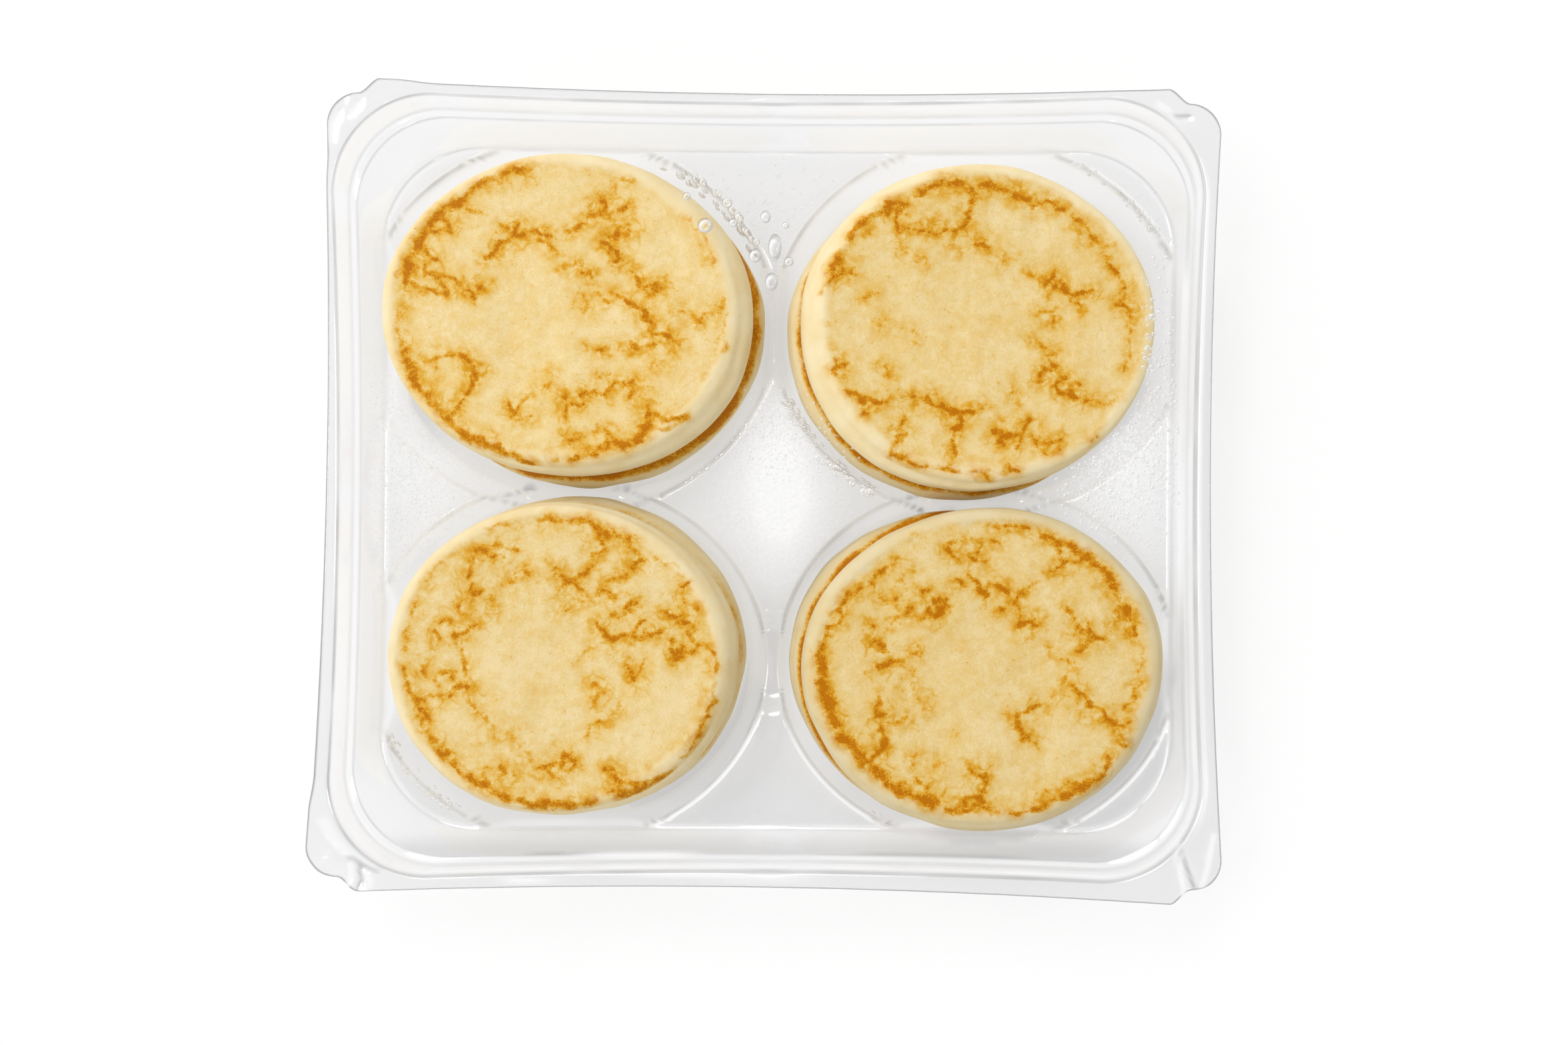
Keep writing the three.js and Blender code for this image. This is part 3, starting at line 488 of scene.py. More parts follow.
def batter_material():
    """Pan-baked batter: pale and mottled, golden to brown along the lace, cream round the side."""
    s = Shader("baked_batter")
    place = s.place()
    lace, veil, side = s.attribute("lace"), s.attribute("veil"), s.attribute("side")
    soft = s.noise(place, 2.2, 2)
    cloud = s.noise(place, 2.6, 3, 0.6)
    broad = s.noise(place, 8, 4, 0.6)
    grain = s.noise(place, 0.5, 2)
    ragged = s.math("MULTIPLY_ADD", grain, 0.3, -0.6)
    ragged = s.math("MULTIPLY_ADD", s.noise(place, 1.3, 2, 0.5), 0.9, ragged)
    marks = s.ramp(s.math("ADD", lace, ragged), 0.12, 1.2, 0.0, 0.99)
    marks = s.math("MULTIPLY", marks, s.ramp(lace, 0.04, 0.24))
    marks = s.math("MULTIPLY", marks, s.ramp(grain, 0.3, 0.7, 0.8, 1.15))
    halo = s.math("MULTIPLY", veil, s.ramp(cloud, 0.3, 0.7, 0.14, 0.68))
    halo = s.math("MULTIPLY", halo, s.math("MULTIPLY_ADD", marks, -0.85, 1.0))
    mottle = s.math("ADD", s.ramp(soft, 0.3, 0.7, 0.0, 0.1), s.ramp(broad, 0.3, 0.7, 0.0, 0.1))
    shove = s.add("TexNoise", {"Vector": place, "Scale": 1 / (2.6 * MM), "Detail": 0.0}, output=1)
    bent = s.add("VectorMath", {0: shove, 1: (0.0035, 0.0035, 0.0035), 2: place}, operation="MULTIPLY_ADD")
    cells = s.add("TexVoronoi", {"Vector": bent, "Scale": 1 / (4.2 * MM)}, feature="DISTANCE_TO_EDGE")
    threads = s.math("MULTIPLY", s.ramp(cells, 0.0, 0.16, 0.24, 0.0), s.ramp(veil, 0.1, 0.5, 0.3, 1.0))
    threads = s.math("MULTIPLY", threads, s.ramp(s.noise(place, 5, 2), 0.42, 0.6))
    pores = s.add("TexVoronoi", {"Vector": place, "Scale": 1 / (2.1 * MM)})
    pore = s.math("MULTIPLY", s.ramp(pores, 0.05, 0.2, 0.24, 0.0), s.ramp(soft, 0.44, 0.58))
    bake = s.math("ADD", s.math("MAXIMUM", marks, threads), s.math("ADD", halo, s.math("ADD", mottle, pore)))
    bake = s.math("ADD", bake, s.ramp(grain, 0.25, 0.75, -0.06, 0.06))
    bake = s.math("SUBTRACT", bake, s.attribute("raw"))
    baked = s.colours(bake, BAKE)
    flank = s.blend(s.ramp(broad, 0.3, 0.7), srgb(246, 223, 170), srgb(251, 234, 191))
    bare = s.ramp(s.math("MAXIMUM", lace, s.math("MULTIPLY", veil, 0.6)), 0.12, 0.62, 1.0, 0.0)
    colour = s.blend(s.math("MULTIPLY", side, bare), baked, flank)
    toned = s.blend(1.0, colour, s.attribute("tone", output=0), blend_type="MULTIPLY")
    height = s.math("MULTIPLY_ADD", grain, 0.35, soft)
    normal = s.add("Bump", {"Strength": 0.5, "Distance": 0.0003, "Height": height})
    rough = s.ramp(bake, 0.2, 1.0, 0.66, 0.5)
    inputs = {"Base Color": toned, "Roughness": rough, "Normal": normal, "Specular IOR Level": 0.08}
    return s.finish(s.add("BsdfPrincipled", inputs))


# The tray.

def gap(outline, x, y):
    """How far points lie outside an outline; negative inside."""
    x, y = np.abs(x - outline.middle_x), np.abs(y - outline.middle_y)
    flat_x, flat_y = outline.x - outline.radius, outline.y - outline.radius
    past_x, past_y = x - flat_x, y - flat_y
    corner = np.hypot(np.maximum(past_x, 0), np.maximum(past_y, 0)) - outline.radius
    share = np.where(past_x > past_y, y / flat_y, x / flat_x)
    bow = outline.bow * (1 - np.clip(share, 0, 1) ** 2)
    return corner + np.minimum(np.maximum(past_x, past_y), 0) + bow


def wall_height(x, y):
    height = np.full(np.shape(x), FLOOR_LEVEL)
    for inner, outer in zip(WALL, WALL[1:]):
        past_inner, past_outer = gap(inner, x, y), gap(outer, x, y)
        share = np.clip(past_inner / (past_inner - past_outer), 0, 1)
        height = np.where(past_inner > 0, mix(inner.z, outer.z, share), height)
    return height


def oval_height(x, y, foot, top, low, high):
    """Height in a drafted oval hollow about the origin, from its floor at low to its brim at high."""
    angle = np.arctan2(y, x)
    def reach(half):
        return 1 / np.hypot(np.cos(angle) / half[0], np.sin(angle) / half[1])
    share = (np.hypot(x, y) - reach(foot)) / (reach(top) - reach(foot))
    near = np.maximum(1 - np.abs(share - 1) / BRIM_ROUND, 0)
    return mix(low, high, np.maximum(np.minimum(share, 1) - BRIM_ROUND / 4 * near**2, 0))


def well_height(well, x, y):
    return oval_height(x - well.x, y - well.y, well.foot, well.top, FLOOR_LEVEL, DECK_LEVEL)


def tray_height(x, y):
    hollows = [well_height(well, x, y) for well in WELLS.values()]
    for middle in SADDLE_Y:
        hollows.append(oval_height(x, y - middle, SADDLE_FOOT, SADDLE_TOP, SADDLE_LEVEL, DECK_LEVEL))
    return np.maximum(np.minimum(np.min(hollows, axis=0), DECK_LEVEL), wall_height(x, y))


def soft_height(x, y):
    """The tray's height with its edges rounded off, by averaging over a small disc, a wider one along the
    ridges between left and right wells."""
    turns = np.arange(8) * math.pi / 4
    offsets = [(0.0, 0.0)]
    offsets += [(r * math.cos(a), r * math.sin(a)) for r in EDGE_ROUNDS for a in turns]
    wide = 1 + RIDGE_WIDER * bell(x, 0, 5) * ease(np.abs(y), 18, 30)
    return sum(tray_height(x + wide * dx, y + wide * dy) for dx, dy in offsets) / len(offsets)


def mirrored(quarter):
    """A quarter outline from the +X axis to the +Y axis, mirrored into a full ring."""
    back = quarter[::-1]
    return np.vstack((quarter, back[1:] * (-1, 1), quarter[1:] * (-1, -1), back[1:-1] * (1, -1)))


def outline_ring(outline, spacing):
    """Points along an outline, counter-clockwise: parabolic sides and round corners."""
    flat_x, flat_y = outline.x - outline.radius, outline.y - outline.radius
    along_x = np.linspace(0, 1, int(flat_x / spacing) + 1)
    along_y = np.linspace(0, 1, int(flat_y / spacing) + 1)
    turn = np.linspace(0, math.pi / 2, int(outline.radius * math.pi / 2 / spacing) + 2)[1:-1]
    side = np.column_stack((outline.x - outline.bow * (1 - along_y**2), flat_y * along_y))
    corner = np.column_stack((np.cos(turn), np.sin(turn))) * outline.radius + (flat_x, flat_y)
    edge = np.column_stack((flat_x * along_x, outline.y - outline.bow * (1 - along_x**2)))[::-1]
    return mirrored(np.vstack((side, corner, edge))) + (outline.middle_x, outline.middle_y)


def between(inner, outer, share):
    return Outline(*(mix(low, high, share) for low, high in zip(inner, outer)))


def oval_ring(centre, half, count):
    angle = np.arange(count) * 2 * math.pi / count
    return np.column_stack((centre[0] + half[0] * np.cos(angle), centre[1] + half[1] * np.sin(angle)))


def flange_edge(spacing):
    """The flange's outline, counter-clockwise from the middle of the right side."""
    side_end = FLANGE_Y - FLANGE_STEP - FLANGE_RADIUS
    edge_end = FLANGE_X - FLANGE_RADIUS - FLANGE_STEP_RUN
    side = np.linspace(0, 1, int(side_end / spacing))
    edge = np.linspace(1, 0, int(edge_end / spacing))
    turn = np.linspace(0, math.pi / 2, FLANGE_TURN_POINTS)[1:]
    step = np.linspace(0, 1, FLANGE_STEP_POINTS)[1:-1]
    return mirrored(np.vstack((
        np.column_stack((FLANGE_X - FLANGE_BOW * (1 - side**2), side_end * side)),
        np.column_stack((np.cos(turn), np.sin(turn))) * FLANGE_RADIUS + (FLANGE_X - FLANGE_RADIUS, side_end),
        np.column_stack((
            FLANGE_X - FLANGE_RADIUS - FLANGE_STEP_RUN * step,
            FLANGE_Y - FLANGE_STEP + FLANGE_STEP * ease(step, 0, 1),
        )),
        np.column_stack((edge_end * edge, FLANGE_Y - FLANGE_BOW * (1 - edge**2))),
    )))


def flexed(x, y):
    """Points moved by the bend of the flange, which fades out inside the rim."""
    loose = ease(gap(RIM, x, y), -0.5, 4)
    shift_x = -LEFT_FLEX * loose * (1 - np.clip(y / FLANGE_Y, -1, 1) ** 2) * (x < 0)
    shift_y = REAR_FLEX * loose * (1 - np.clip(x / FLANGE_X, -1, 1) ** 2) * (y > 0)
    for (side_x, side_y), (flex_x, flex_y) in CORNER_FLEX.items():
        near_x = np.clip((1 + side_x * x / FLANGE_X) / 2, 0, 1)
        near_y = np.clip((1 + side_y * y / FLANGE_Y) / 2, 0, 1)
        weight = loose * (near_x * near_y) ** 1.5
        shift_x += weight * flex_x
        shift_y += weight * flex_y
    return x + shift_x, y + shift_y


def hex_grid(half_x, half_y, spacing):
    rows = np.arange(-half_y, half_y + spacing, spacing * math.sqrt(3) / 2)
    columns = np.arange(-half_x, half_x + spacing, spacing)
    return np.vstack([
        np.column_stack((columns + (spacing / 2 if i % 2 else 0), np.full(len(columns), row)))
        for i, row in enumerate(rows)
    ])


def clear_of(points, others, cell):
    """The points whose square cell holds none of the others."""
    taken = {tuple(at) for at in np.round(others / cell).astype(int).tolist()}
    free = [tuple(at) not in taken for at in np.round(points / cell).astype(int).tolist()]
    return points[free]


def within(points, loop):
    """Which points are inside a star-shaped loop about the origin."""
    angle = np.arctan2(loop[:, 1], loop[:, 0])
    order = np.argsort(angle)
    reach = np.hypot(loop[:, 0], loop[:, 1])[order]
    limit = np.interp(np.arctan2(points[:, 1], points[:, 0]), angle[order], reach, period=2 * math.pi)
    return np.hypot(points[:, 0], points[:, 1]) < limit


def grown(outline, out):
    return outline._replace(x=outline.x + out, y=outline.y + out, radius=outline.radius + out)


def triangulated(boundary, inner, edges=()):
    """Points and triangles of the flat area inside a boundary loop, through the inner points and along the
    edges, which are pairs of inner points."""
    points = [Vector(p) for p in np.vstack((boundary, inner)).tolist()]
    loop = list(range(len(boundary)))
    start = len(boundary)
    made = delaunay_2d_cdt(points, [(start + a, start + b) for a, b in edges], [loop], 1, 1e-5)
    flat = np.array([tuple(p) for p in made[0]])
    faces = [list(face) for face in made[2]]
    first = np.array([face[:3] for face in faces])
    a, b, c = flat[first[:, 0]], flat[first[:, 1]], flat[first[:, 2]]
    turn = (b[:, 0] - a[:, 0]) * (c[:, 1] - a[:, 1]) - (b[:, 1] - a[:, 1]) * (c[:, 0] - a[:, 0])
    return flat, [face if t > 0 else face[::-1] for face, t in zip(faces, turn)]


def solidify(piece, thickness):
    modifier = piece.modifiers.new("sheet", "SOLIDIFY")
    modifier.thickness = thickness * MM
    modifier.offset = -1
    return piece


# Soft spots, written as spots() says: the bright star on the deck's middle, frost with a painted glow, and
# its painted glint, mist on the deck and under the film, and, by distance from X 0, where the brims' painted
# grey lines are lost in mist.
STAR_FROST_AND_PAINTED_GLOW = [(2, 7.5, 3, 19, 1.0), (1, 17, -2, 15, 0.5)]
PAINTED_STAR_GLINT = [(2, 9, 3, 17, 0.3)]
DECK_FROST = [(88, 14, 4, 16, 0.4), (-92, 12, 4, 26, 0.28)]
FILM_FROST = [(88, 14, 8, 17, 0.4), (-90, 14, 6, 24, 0.24)]
BRIM_FADE = [(88, 18, 4, 26, 0.8)]
FROST_BASE, FROST_MOST = 0.08, 0.97

# Painted lines along the wall's folds as (fold, how grey its painted shade is, how far outside it its painted
# highlight lies).
FOLDS = [(DECK_EDGE, 0.3, -0.7), (LEDGE_INNER, 0.42, 0.6), (LEDGE_OUTER, 0.36, -0.4), (RIM, 0.85, -0.7)]
FOLD_WIDTH, SHINE_WIDTH, STREAK_WIDTH = 0.17, 0.4, 0.5
# Painted highlights on the ridges between left and right wells, where the painted shade is taken off, as
# (x, first y, last y, half width).
PAINTED_RIDGE_STREAKS = [(-1.0, 30, 51, 0.7), (-2.7, -51, -39, 0.55), (-0.3, -51, -40, 0.55)]
# Stretches along a well as (side in X, side in Y, first and last angle in degrees, strength): painted
# highlights along the brim, and painted shade on the wall.
PAINTED_BRIM_HIGHLIGHTS = [(-1, -1, -72, -12, 0.95), (1, -1, 196, 250, 0.7), (1, 1, 24, 66, 0.4), (1, -1, -66, -6, 0.85)]
SHADES = [(1, -1, -110, 8, 0.24), (-1, -1, -60, 0, 0.08)]
# How much painted shade dims the sheet on the deck's front, about its middle, on the ridges, and on the front
# and left walls.
PAINTED_DIM_FRONT, PAINTED_DIM_MIDDLE, PAINTED_DIM_RIDGE, PAINTED_DIM_FRONT_WALL, PAINTED_DIM_LEFT_WALL = 0.1, 0.02, 0.04, 0.26, 0.1
# Creases in the flange's corners, written as strokes are: folds with painted grey shade, and painted
# highlights where the bent sheet shines.
CREASES = [
    ("painted_fold_shade", 101.7, -87.8, 103.2, -90.7, 104.2, -93.5, 105.6, -97.2),
    ("shine", 101.2, -86.5, 101.6, -89.4, 101.9, -93.1, 102.8, -96.8, 102.4, -99.3),
    ("shine", 110.1, -83.6, 108.5, -91.8, 107.1, -95.9),
    ("shine", -108.7, -83, -106.8, -86.8, -104, -90, -102.4, -91.4),
    ("painted_fold_shade", -102.3, -91.6, -98.9, -93.7, -95.6, -95),
    ("shine", -101.2, -93.9, -100.8, -96.4, -101.5, -98.9),
    ("painted_fold_shade", -99.1, -94.1, -98.3, -97.6, -99.1, -100), ("shine", -97.6, -95.4, -96.3, -97.6, -96.5, -99.9),
    ("shine", -109.2, 92, -110.7, 89.1, -110.6, 85.4), ("shine", -104.2, 94.4, -106.2, 92),
    ("shine", 96.3, 97, 98.9, 95.6), ("painted_fold_shade", 100.5, 94, 104, 94.3),
]
# Painted highlights and painted grey shade along the tray's front, which leave the sheet flat.
FRONT_LINES = [
    ("shine", -54, -91.5, -33, -91.2, -12, -90.9), ("shine", -69, -96.3, -58, -96.9, -47, -97.5),
    ("shine", -44, -95.1, -20, -95, 1, -95.4, 18, -95.2),
    ("painted_fold_shade", 10, -90.4, 29, -90.6, 57, -91.1, 80, -91.7), ("painted_fold_shade", -70, -91.4, -31, -90.6),
]
# Each kind of drawn line, shine a painted highlight and the other painted shade, as (strength, half width),
# and the share of a front line over which each end fades.
LINE_KINDS = {"painted_fold_shade": (0.5, 0.45), "shine": (0.7, 0.6)}
FRONT_TAPER = 0.35
# How deep a crease of each kind is, and its half width.
CREASE_DEPTHS, CREASE_WIDTH = {"painted_fold_shade": 0.5, "shine": 0.2}, 1.1


def frost_and_painted_glow_at(x, y, height):
    """How white the deck is with fine condensation, most so at its middle, where a painted glow is added."""
    flat = ease(-np.abs(height - DECK_LEVEL), -1.5, -0.2)
    patches = 0.75 + 0.35 * wander(x, y, 7, 21)
    mist = patches * (FROST_BASE + spots(x, y, DECK_FROST))
    return flat * np.minimum(mist + spots(x, y, STAR_FROST_AND_PAINTED_GLOW), FROST_MOST)


def near_line(x, y, points, width, taper=0.0):
    """1 on the line through points, fading over width to each side and over the share taper at each end."""
    apart, share = np.full(np.shape(x), np.inf), np.zeros(np.shape(x))
    for i, ((ax, ay), (bx, by)) in enumerate(zip(points, points[1:])):
        along = ((x - ax) * (bx - ax) + (y - ay) * (by - ay)) / ((bx - ax) ** 2 + (by - ay) ** 2)
        along = np.clip(along, 0, 1)
        off = np.hypot(x - mix(ax, bx, along), y - mix(ay, by, along))
        share = np.where(off < apart, (i + along) / (len(points) - 1), share)
        apart = np.minimum(apart, off)
    ends = ease(np.minimum(share, 1 - share), 0, taper) if taper else 1.0
    return ends * bell(apart, 0, width)


def along_brim(table, side, angle):
    """How strongly each angle of a well is covered by the table's stretches."""
    cover = np.zeros(np.shape(angle))
    for side_x, side_y, first, last, strength in table:
        if (side_x, side_y) == side:
            turn, span = (angle - first) % 360, last - first
            ends = ease(turn, 0, 14) * ease(span - turn, 0, 14)
            cover = np.maximum(cover, strength * ends * (turn < span))
    return cover


def wall_lines(x, y):
    """(grey, bright) painted lines along the wall's folds: shade on each fold and a highlight beside it."""
    painted_grey, painted_highlight = np.zeros(np.shape(x)), np.zeros(np.shape(x))
    front, left = ease(-y, 20, 90), ease(-x, 70, 95)
    for outline, strength, beside in FOLDS:
        past = gap(outline, x, y)
        patchy_strength = strength * (0.8 + 0.35 * wander(x, y, 9, 31))
        width = FOLD_WIDTH + (0.13 * ease(-y, 70, 90) if outline is RIM else 0)
        lit = 0.6 + 0.3 * front + (-0.4 if outline is RIM else 0.7) * left
        painted_grey = np.maximum(painted_grey, patchy_strength * bell(past, 0, width))
        painted_highlight = np.maximum(painted_highlight, lit * patchy_strength * bell(past, beside, SHINE_WIDTH))
    return painted_grey, painted_highlight


def painted_right_streaks(x, y):
    """Painted highlights: bright streaks along the right side, on the flange and on the ledge."""
    flange = ease(x, 95, 103) * ease(-np.abs(y), -88, -70)
    flange *= 0.7 * (0.8 + 0.3 * wander(x, y, 12, 33)) * bell(gap(RIM, x, y), 1.3, STREAK_WIDTH)
    ledge = ease(y, -40, -10) * ease(-y, -64, -50) * (x > 0)
    ledge *= 0.85 * (0.85 + 0.4 * wander(x, y, 14, 35)) * bell(gap(LEDGE_INNER, x, y), -0.1, STREAK_WIDTH)
    return np.maximum(flange, ledge)


def drawn_lines(x, y):
    """(grey, bright) along the creases and the front's lines: painted shade and painted highlights."""
    lines = {kind: np.zeros(np.shape(x)) for kind in LINE_KINDS}
    for table, taper in ((CREASES, 0.0), (FRONT_LINES, FRONT_TAPER)):
        for kind, *numbers in table:
            strength, width = LINE_KINDS[kind]
            lines[kind] = np.maximum(lines[kind], strength * near_line(x, y, pairs(numbers), width, taper))
    return lines["painted_fold_shade"], lines["shine"]


def brim_lines(x, y, deck):
    """(grey, bright, shade), all painted light and shade: grey and bright lines along the wells' brims on the
    deck, and shade on the wells' walls.
    """
    painted_grey, painted_highlight, shade = (np.zeros(np.shape(x)) for _ in range(3))
    patchy_strength = 0.75 * (0.7 + 0.4 * wander(x, y, 6, 32)) * deck * (np.abs(x) > 2.5)
    patchy_strength *= 1 - spots(np.abs(x), y, BRIM_FADE)
    for side, well in WELLS.items():
        over_x, over_y = (x - well.x) / well.top[0], (y - well.y) / well.top[1]
        past = (np.hypot(over_x, over_y) - 1) * well.top[1]
        angle = np.degrees(np.arctan2(over_y, over_x))
        wall = ease(past, -6, -3.5) * ease(-past, -0.2, 0.6)
        painted_grey = np.maximum(painted_grey, patchy_strength * bell(past, 0.4, 0.3))
        painted_highlight = np.maximum(painted_highlight, along_brim(PAINTED_BRIM_HIGHLIGHTS, side, angle) * deck * bell(past, 1.1, SHINE_WIDTH))
        shade = np.maximum(shade, along_brim(SHADES, side, angle) * wall)
    return painted_grey, painted_highlight, shade


def painted_dimness_at(x, y, deck, shade):
    """How much painted shade dims the sheet, at least as much as the shade on it, except along the ridges'
    painted bright streaks.
    """
    in_wall = gap(LEDGE_INNER, x, y) < 0
    painted_dimness = PAINTED_DIM_FRONT * ease(-y, 48, 80) * deck + PAINTED_DIM_MIDDLE * np.exp(-np.hypot(x / 24, y / 60) ** 4)
    painted_dimness += PAINTED_DIM_FRONT_WALL * ease(-y, 86, 91) * ~deck * in_wall
    painted_dimness += PAINTED_DIM_LEFT_WALL * ease(-x, 84, 94) * ease(-np.abs(y), -78, -60) * in_wall
    ridge = np.exp(-((x / 6) ** 4)) * ease(np.abs(y), 20, 32) * ease(-np.abs(y), -66, -56)
    painted_dimness = np.maximum(painted_dimness, shade) + PAINTED_DIM_RIDGE * ridge
    for middle, first, last, width in PAINTED_RIDGE_STREAKS:
        shown = ease(y, first, first + 3) * ease(-y, -last, 3 - last)
        painted_dimness *= 1 - shown * bell(x, middle, width)
    return painted_dimness


def sheet_lines(x, y):
    """The painted shade and painted highlights on the sheet: how grey and how bright it is along its folds,
    creases and brims, and where it is dimmed.
    """
    deck = gap(DECK_EDGE, x, y) < -0.5
    wall, drawn, brim = wall_lines(x, y), drawn_lines(x, y), brim_lines(x, y, deck)
    painted_grey = np.max([wall[0], drawn[0], brim[0], painted_dimness_at(x, y, deck, brim[2])], axis=0)
    painted_highlight = np.max([wall[1], drawn[1], brim[1], painted_right_streaks(x, y), spots(x, y, PAINTED_STAR_GLINT)], axis=0)
    return np.clip(painted_grey, 0, 1), np.clip(painted_highlight, 0, 1)


def tray_rings(edge):
    """Rings of points along the tray's folds, each with a flag for the points to use."""
    outlines = [grown(RIM, out) for out in RIM_STEPS] + [grown(WALL_FOOT, -0.5), grown(DECK_EDGE, -0.7)]
    for inner, outer, shares in zip(WALL, WALL[1:], WALL_STEPS):
        outlines += [between(inner, outer, share) for share in shares]
    rings = [outline_ring(outline, FOLD_SPACING) for outline in outlines]
    flagged = [(ring, within(ring, edge * RING_SHARE)) for ring in rings]
    for well in WELLS.values():
        for share in np.arange(-0.6, 1.81, 0.2):
            half = [mix(foot, top, share) for foot, top in zip(well.foot, well.top)]
            ring = oval_ring((well.x, well.y), half, WELL_SIDES)
            x, y = ring.T
            shown = np.abs(tray_height(x, y) - well_height(well, x, y)) < 0.1
            saddle = (np.abs(x) < SADDLE_GRID[0] - 1) & (np.abs(y - well.y) < SADDLE_GRID[1])
            shown &= (gap(WALL_FOOT, x, y) < -1) & ~saddle & (np.abs(y - WELLS_MEET_Y) > 0.4)
            flagged.append((ring, shown))
    return flagged


def ring_mesh(flagged):
    """The used points of flagged rings, and the edges between those that follow each other."""
    points, edges, start = [], [], 0
    for ring, used in flagged:
        index = np.cumsum(used) - 1 + start
        ahead = np.roll(used, -1) & used
        edges += np.column_stack((index, np.roll(index, -1)))[ahead].tolist()
        points.append(ring[used])
        start += int(used.sum())
    return np.vstack(points), edges


def hem(edge):
    """A flagged ring just inside the flange's edge."""
    return edge * HEM_SHARE, np.ones(len(edge), dtype=bool)


def flange_ripple(x, y):
    """How far the thin flange rises or, below 0, dips: slight waves, and crumpled, creased corners."""
    past = gap(RIM, x, y)
    corner = ease(np.abs(x), 92, 108) * ease(np.abs(y), 82, 98) * ease(past, 0.5, 5)
    waves = 0.12 * wander(x, y, 16, 5) * ease(past, -14, 3)
    crumple = (0.4 + 0.7 * wander(x, y, 4.2, 6) + 0.5 * wander(x, y, 2.4, 7)) * corner
    creased = np.zeros(np.shape(x))
    for kind, *numbers in CREASES:
        creased = np.maximum(creased, CREASE_DEPTHS[kind] * near_line(x, y, pairs(numbers), CREASE_WIDTH))
    return waves - np.where(y > 0, 0.2, 0.45) * np.abs(crumple) - creased * ease(past, 0, 1.5)


def make_tray():
    edge = flange_edge(FLANGE_SPACING)
    lined, edges = ring_mesh(tray_rings(edge) + [hem(edge)])
    fill = hex_grid(FLANGE_X, FLANGE_Y, FILL_SPACING)
    fill = fill[gap(RIM, *fill.T) < -0.6]
    lip = hex_grid(FLANGE_X, FLANGE_Y, LIP_SPACING)
    cornered = (np.abs(lip[:, 0]) > LIP_X) & (np.abs(lip[:, 1]) > LIP_Y)
    lip = lip[(gap(RIM, *lip.T) > LIP_PAST) & cornered & within(lip, edge * LIP_SHARE)]
    saddles = [hex_grid(*SADDLE_GRID, SADDLE_SPACING) + (0, middle) for middle in SADDLE_Y]
    inner = np.vstack([lined, clear_of(fill, lined, 1.2), lip] + saddles)
    flat, faces = triangulated(edge, inner, edges)
    x, y = flat.T
    height = soft_height(x, y)
    painted_grey, painted_highlight = sheet_lines(x, y)
    # Painted shade: a full grey line along the flange's cut edge.
    painted_grey[: len(edge)] = 1
    looks = {"frost_and_painted_glow": frost_and_painted_glow_at(x, y, height), "painted_fold_shade": painted_grey, "painted_glint": painted_highlight}
    level = np.minimum(height + flange_ripple(x, y), FLANGE_LEVEL)
    clear = clear_material(
        "clear_sheet", clear=(0.979, 0.98, 0.985), edge=(0.966, 0.969, 0.976), gloss=0.05, rough=0.05,
        rim_gloss=0.1, frost_and_painted_glow_colour=(0.97, 0.97, 0.975, 1), even=0.9,
    )
    tray = mesh_object("tray_sheet", np.column_stack((*flexed(x, y), level)), faces, clear, looks)
    return add_piece(solidify(tray, SHEET_THICKNESS), "tray")


def film_height(x, y):
    """The film is flat on the flange and a little slack over the tray."""
    slack = ease(-gap(RIM, x, y), 0, 30)
    bulge = slack * FILM_BULGE * (0.6 + 0.4 * wander(x, y, 24, 8))
    return FILM_SEAT + bulge + np.minimum(flange_ripple(x, y), 0) * ease(gap(RIM, x, y), 0, 2)


def beside_blini(x, y):
    """How far points lie outside the upper blini's outlines, as seen from above."""
    apart = np.full(np.shape(x), np.inf)
    for stack in BROWNING:
        low, high = (np.array(corner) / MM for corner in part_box(f"blini_{stack}_upper"))
        middle, half = (low + high) / 2, (high - low) / 2
        out = np.hypot((x - middle[0]) / half[0], (y - middle[1]) / half[1]) - 1
        apart = np.minimum(apart, out * half[1])
    return apart


def film_mist(x, y):
    """How misted the film is: at the middles of the left and right sides, beside the blini."""
    kept = ease(beside_blini(x, y), -0.5, 2.5) * ease(-gap(DECK_EDGE, x, y), -1, 2)
    return kept * spots(x, y, FILM_FROST) * (0.9 + 0.25 * wander(x, y, 6, 23))


def make_film():
    edge = flange_edge(FILM_EDGE_SPACING)
    fill = hex_grid(FLANGE_X, FLANGE_Y, FILM_SPACING)
    fill = fill[within(fill, edge * FILM_SHARE)]
    lined, edges = ring_mesh([hem(edge)])
    flat, faces = triangulated(edge, np.vstack((lined, fill)), edges)
    x, y = flat.T
    height = film_height(x, y)
    x, y = flexed(x, y)
    clear = clear_material(
        "clear_film", clear=(0.998, 0.998, 0.998), edge=(0.97, 0.97, 0.97), gloss=0.008, rough=0.08,
        rim_gloss=0.3, frost_and_painted_glow_colour=(0.98, 0.98, 0.98, 1), even=0.45,
    )
    bare = np.zeros(len(x))
    mist = {"frost_and_painted_glow": film_mist(x, y), "painted_fold_shade": bare, "painted_glint": bare}
    film = mesh_object("lid_film_sheet", np.column_stack((x, y, height)), faces, clear, mist)
    return add_piece(solidify(film, -FILM_THICKNESS), "lid_film")


# The blini.

def node_points(name):
    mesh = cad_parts[name].data
    points = np.empty(len(mesh.vertices) * 3)
    mesh.vertices.foreach_get("co", points)
    return points.reshape(-1, 3) / MM


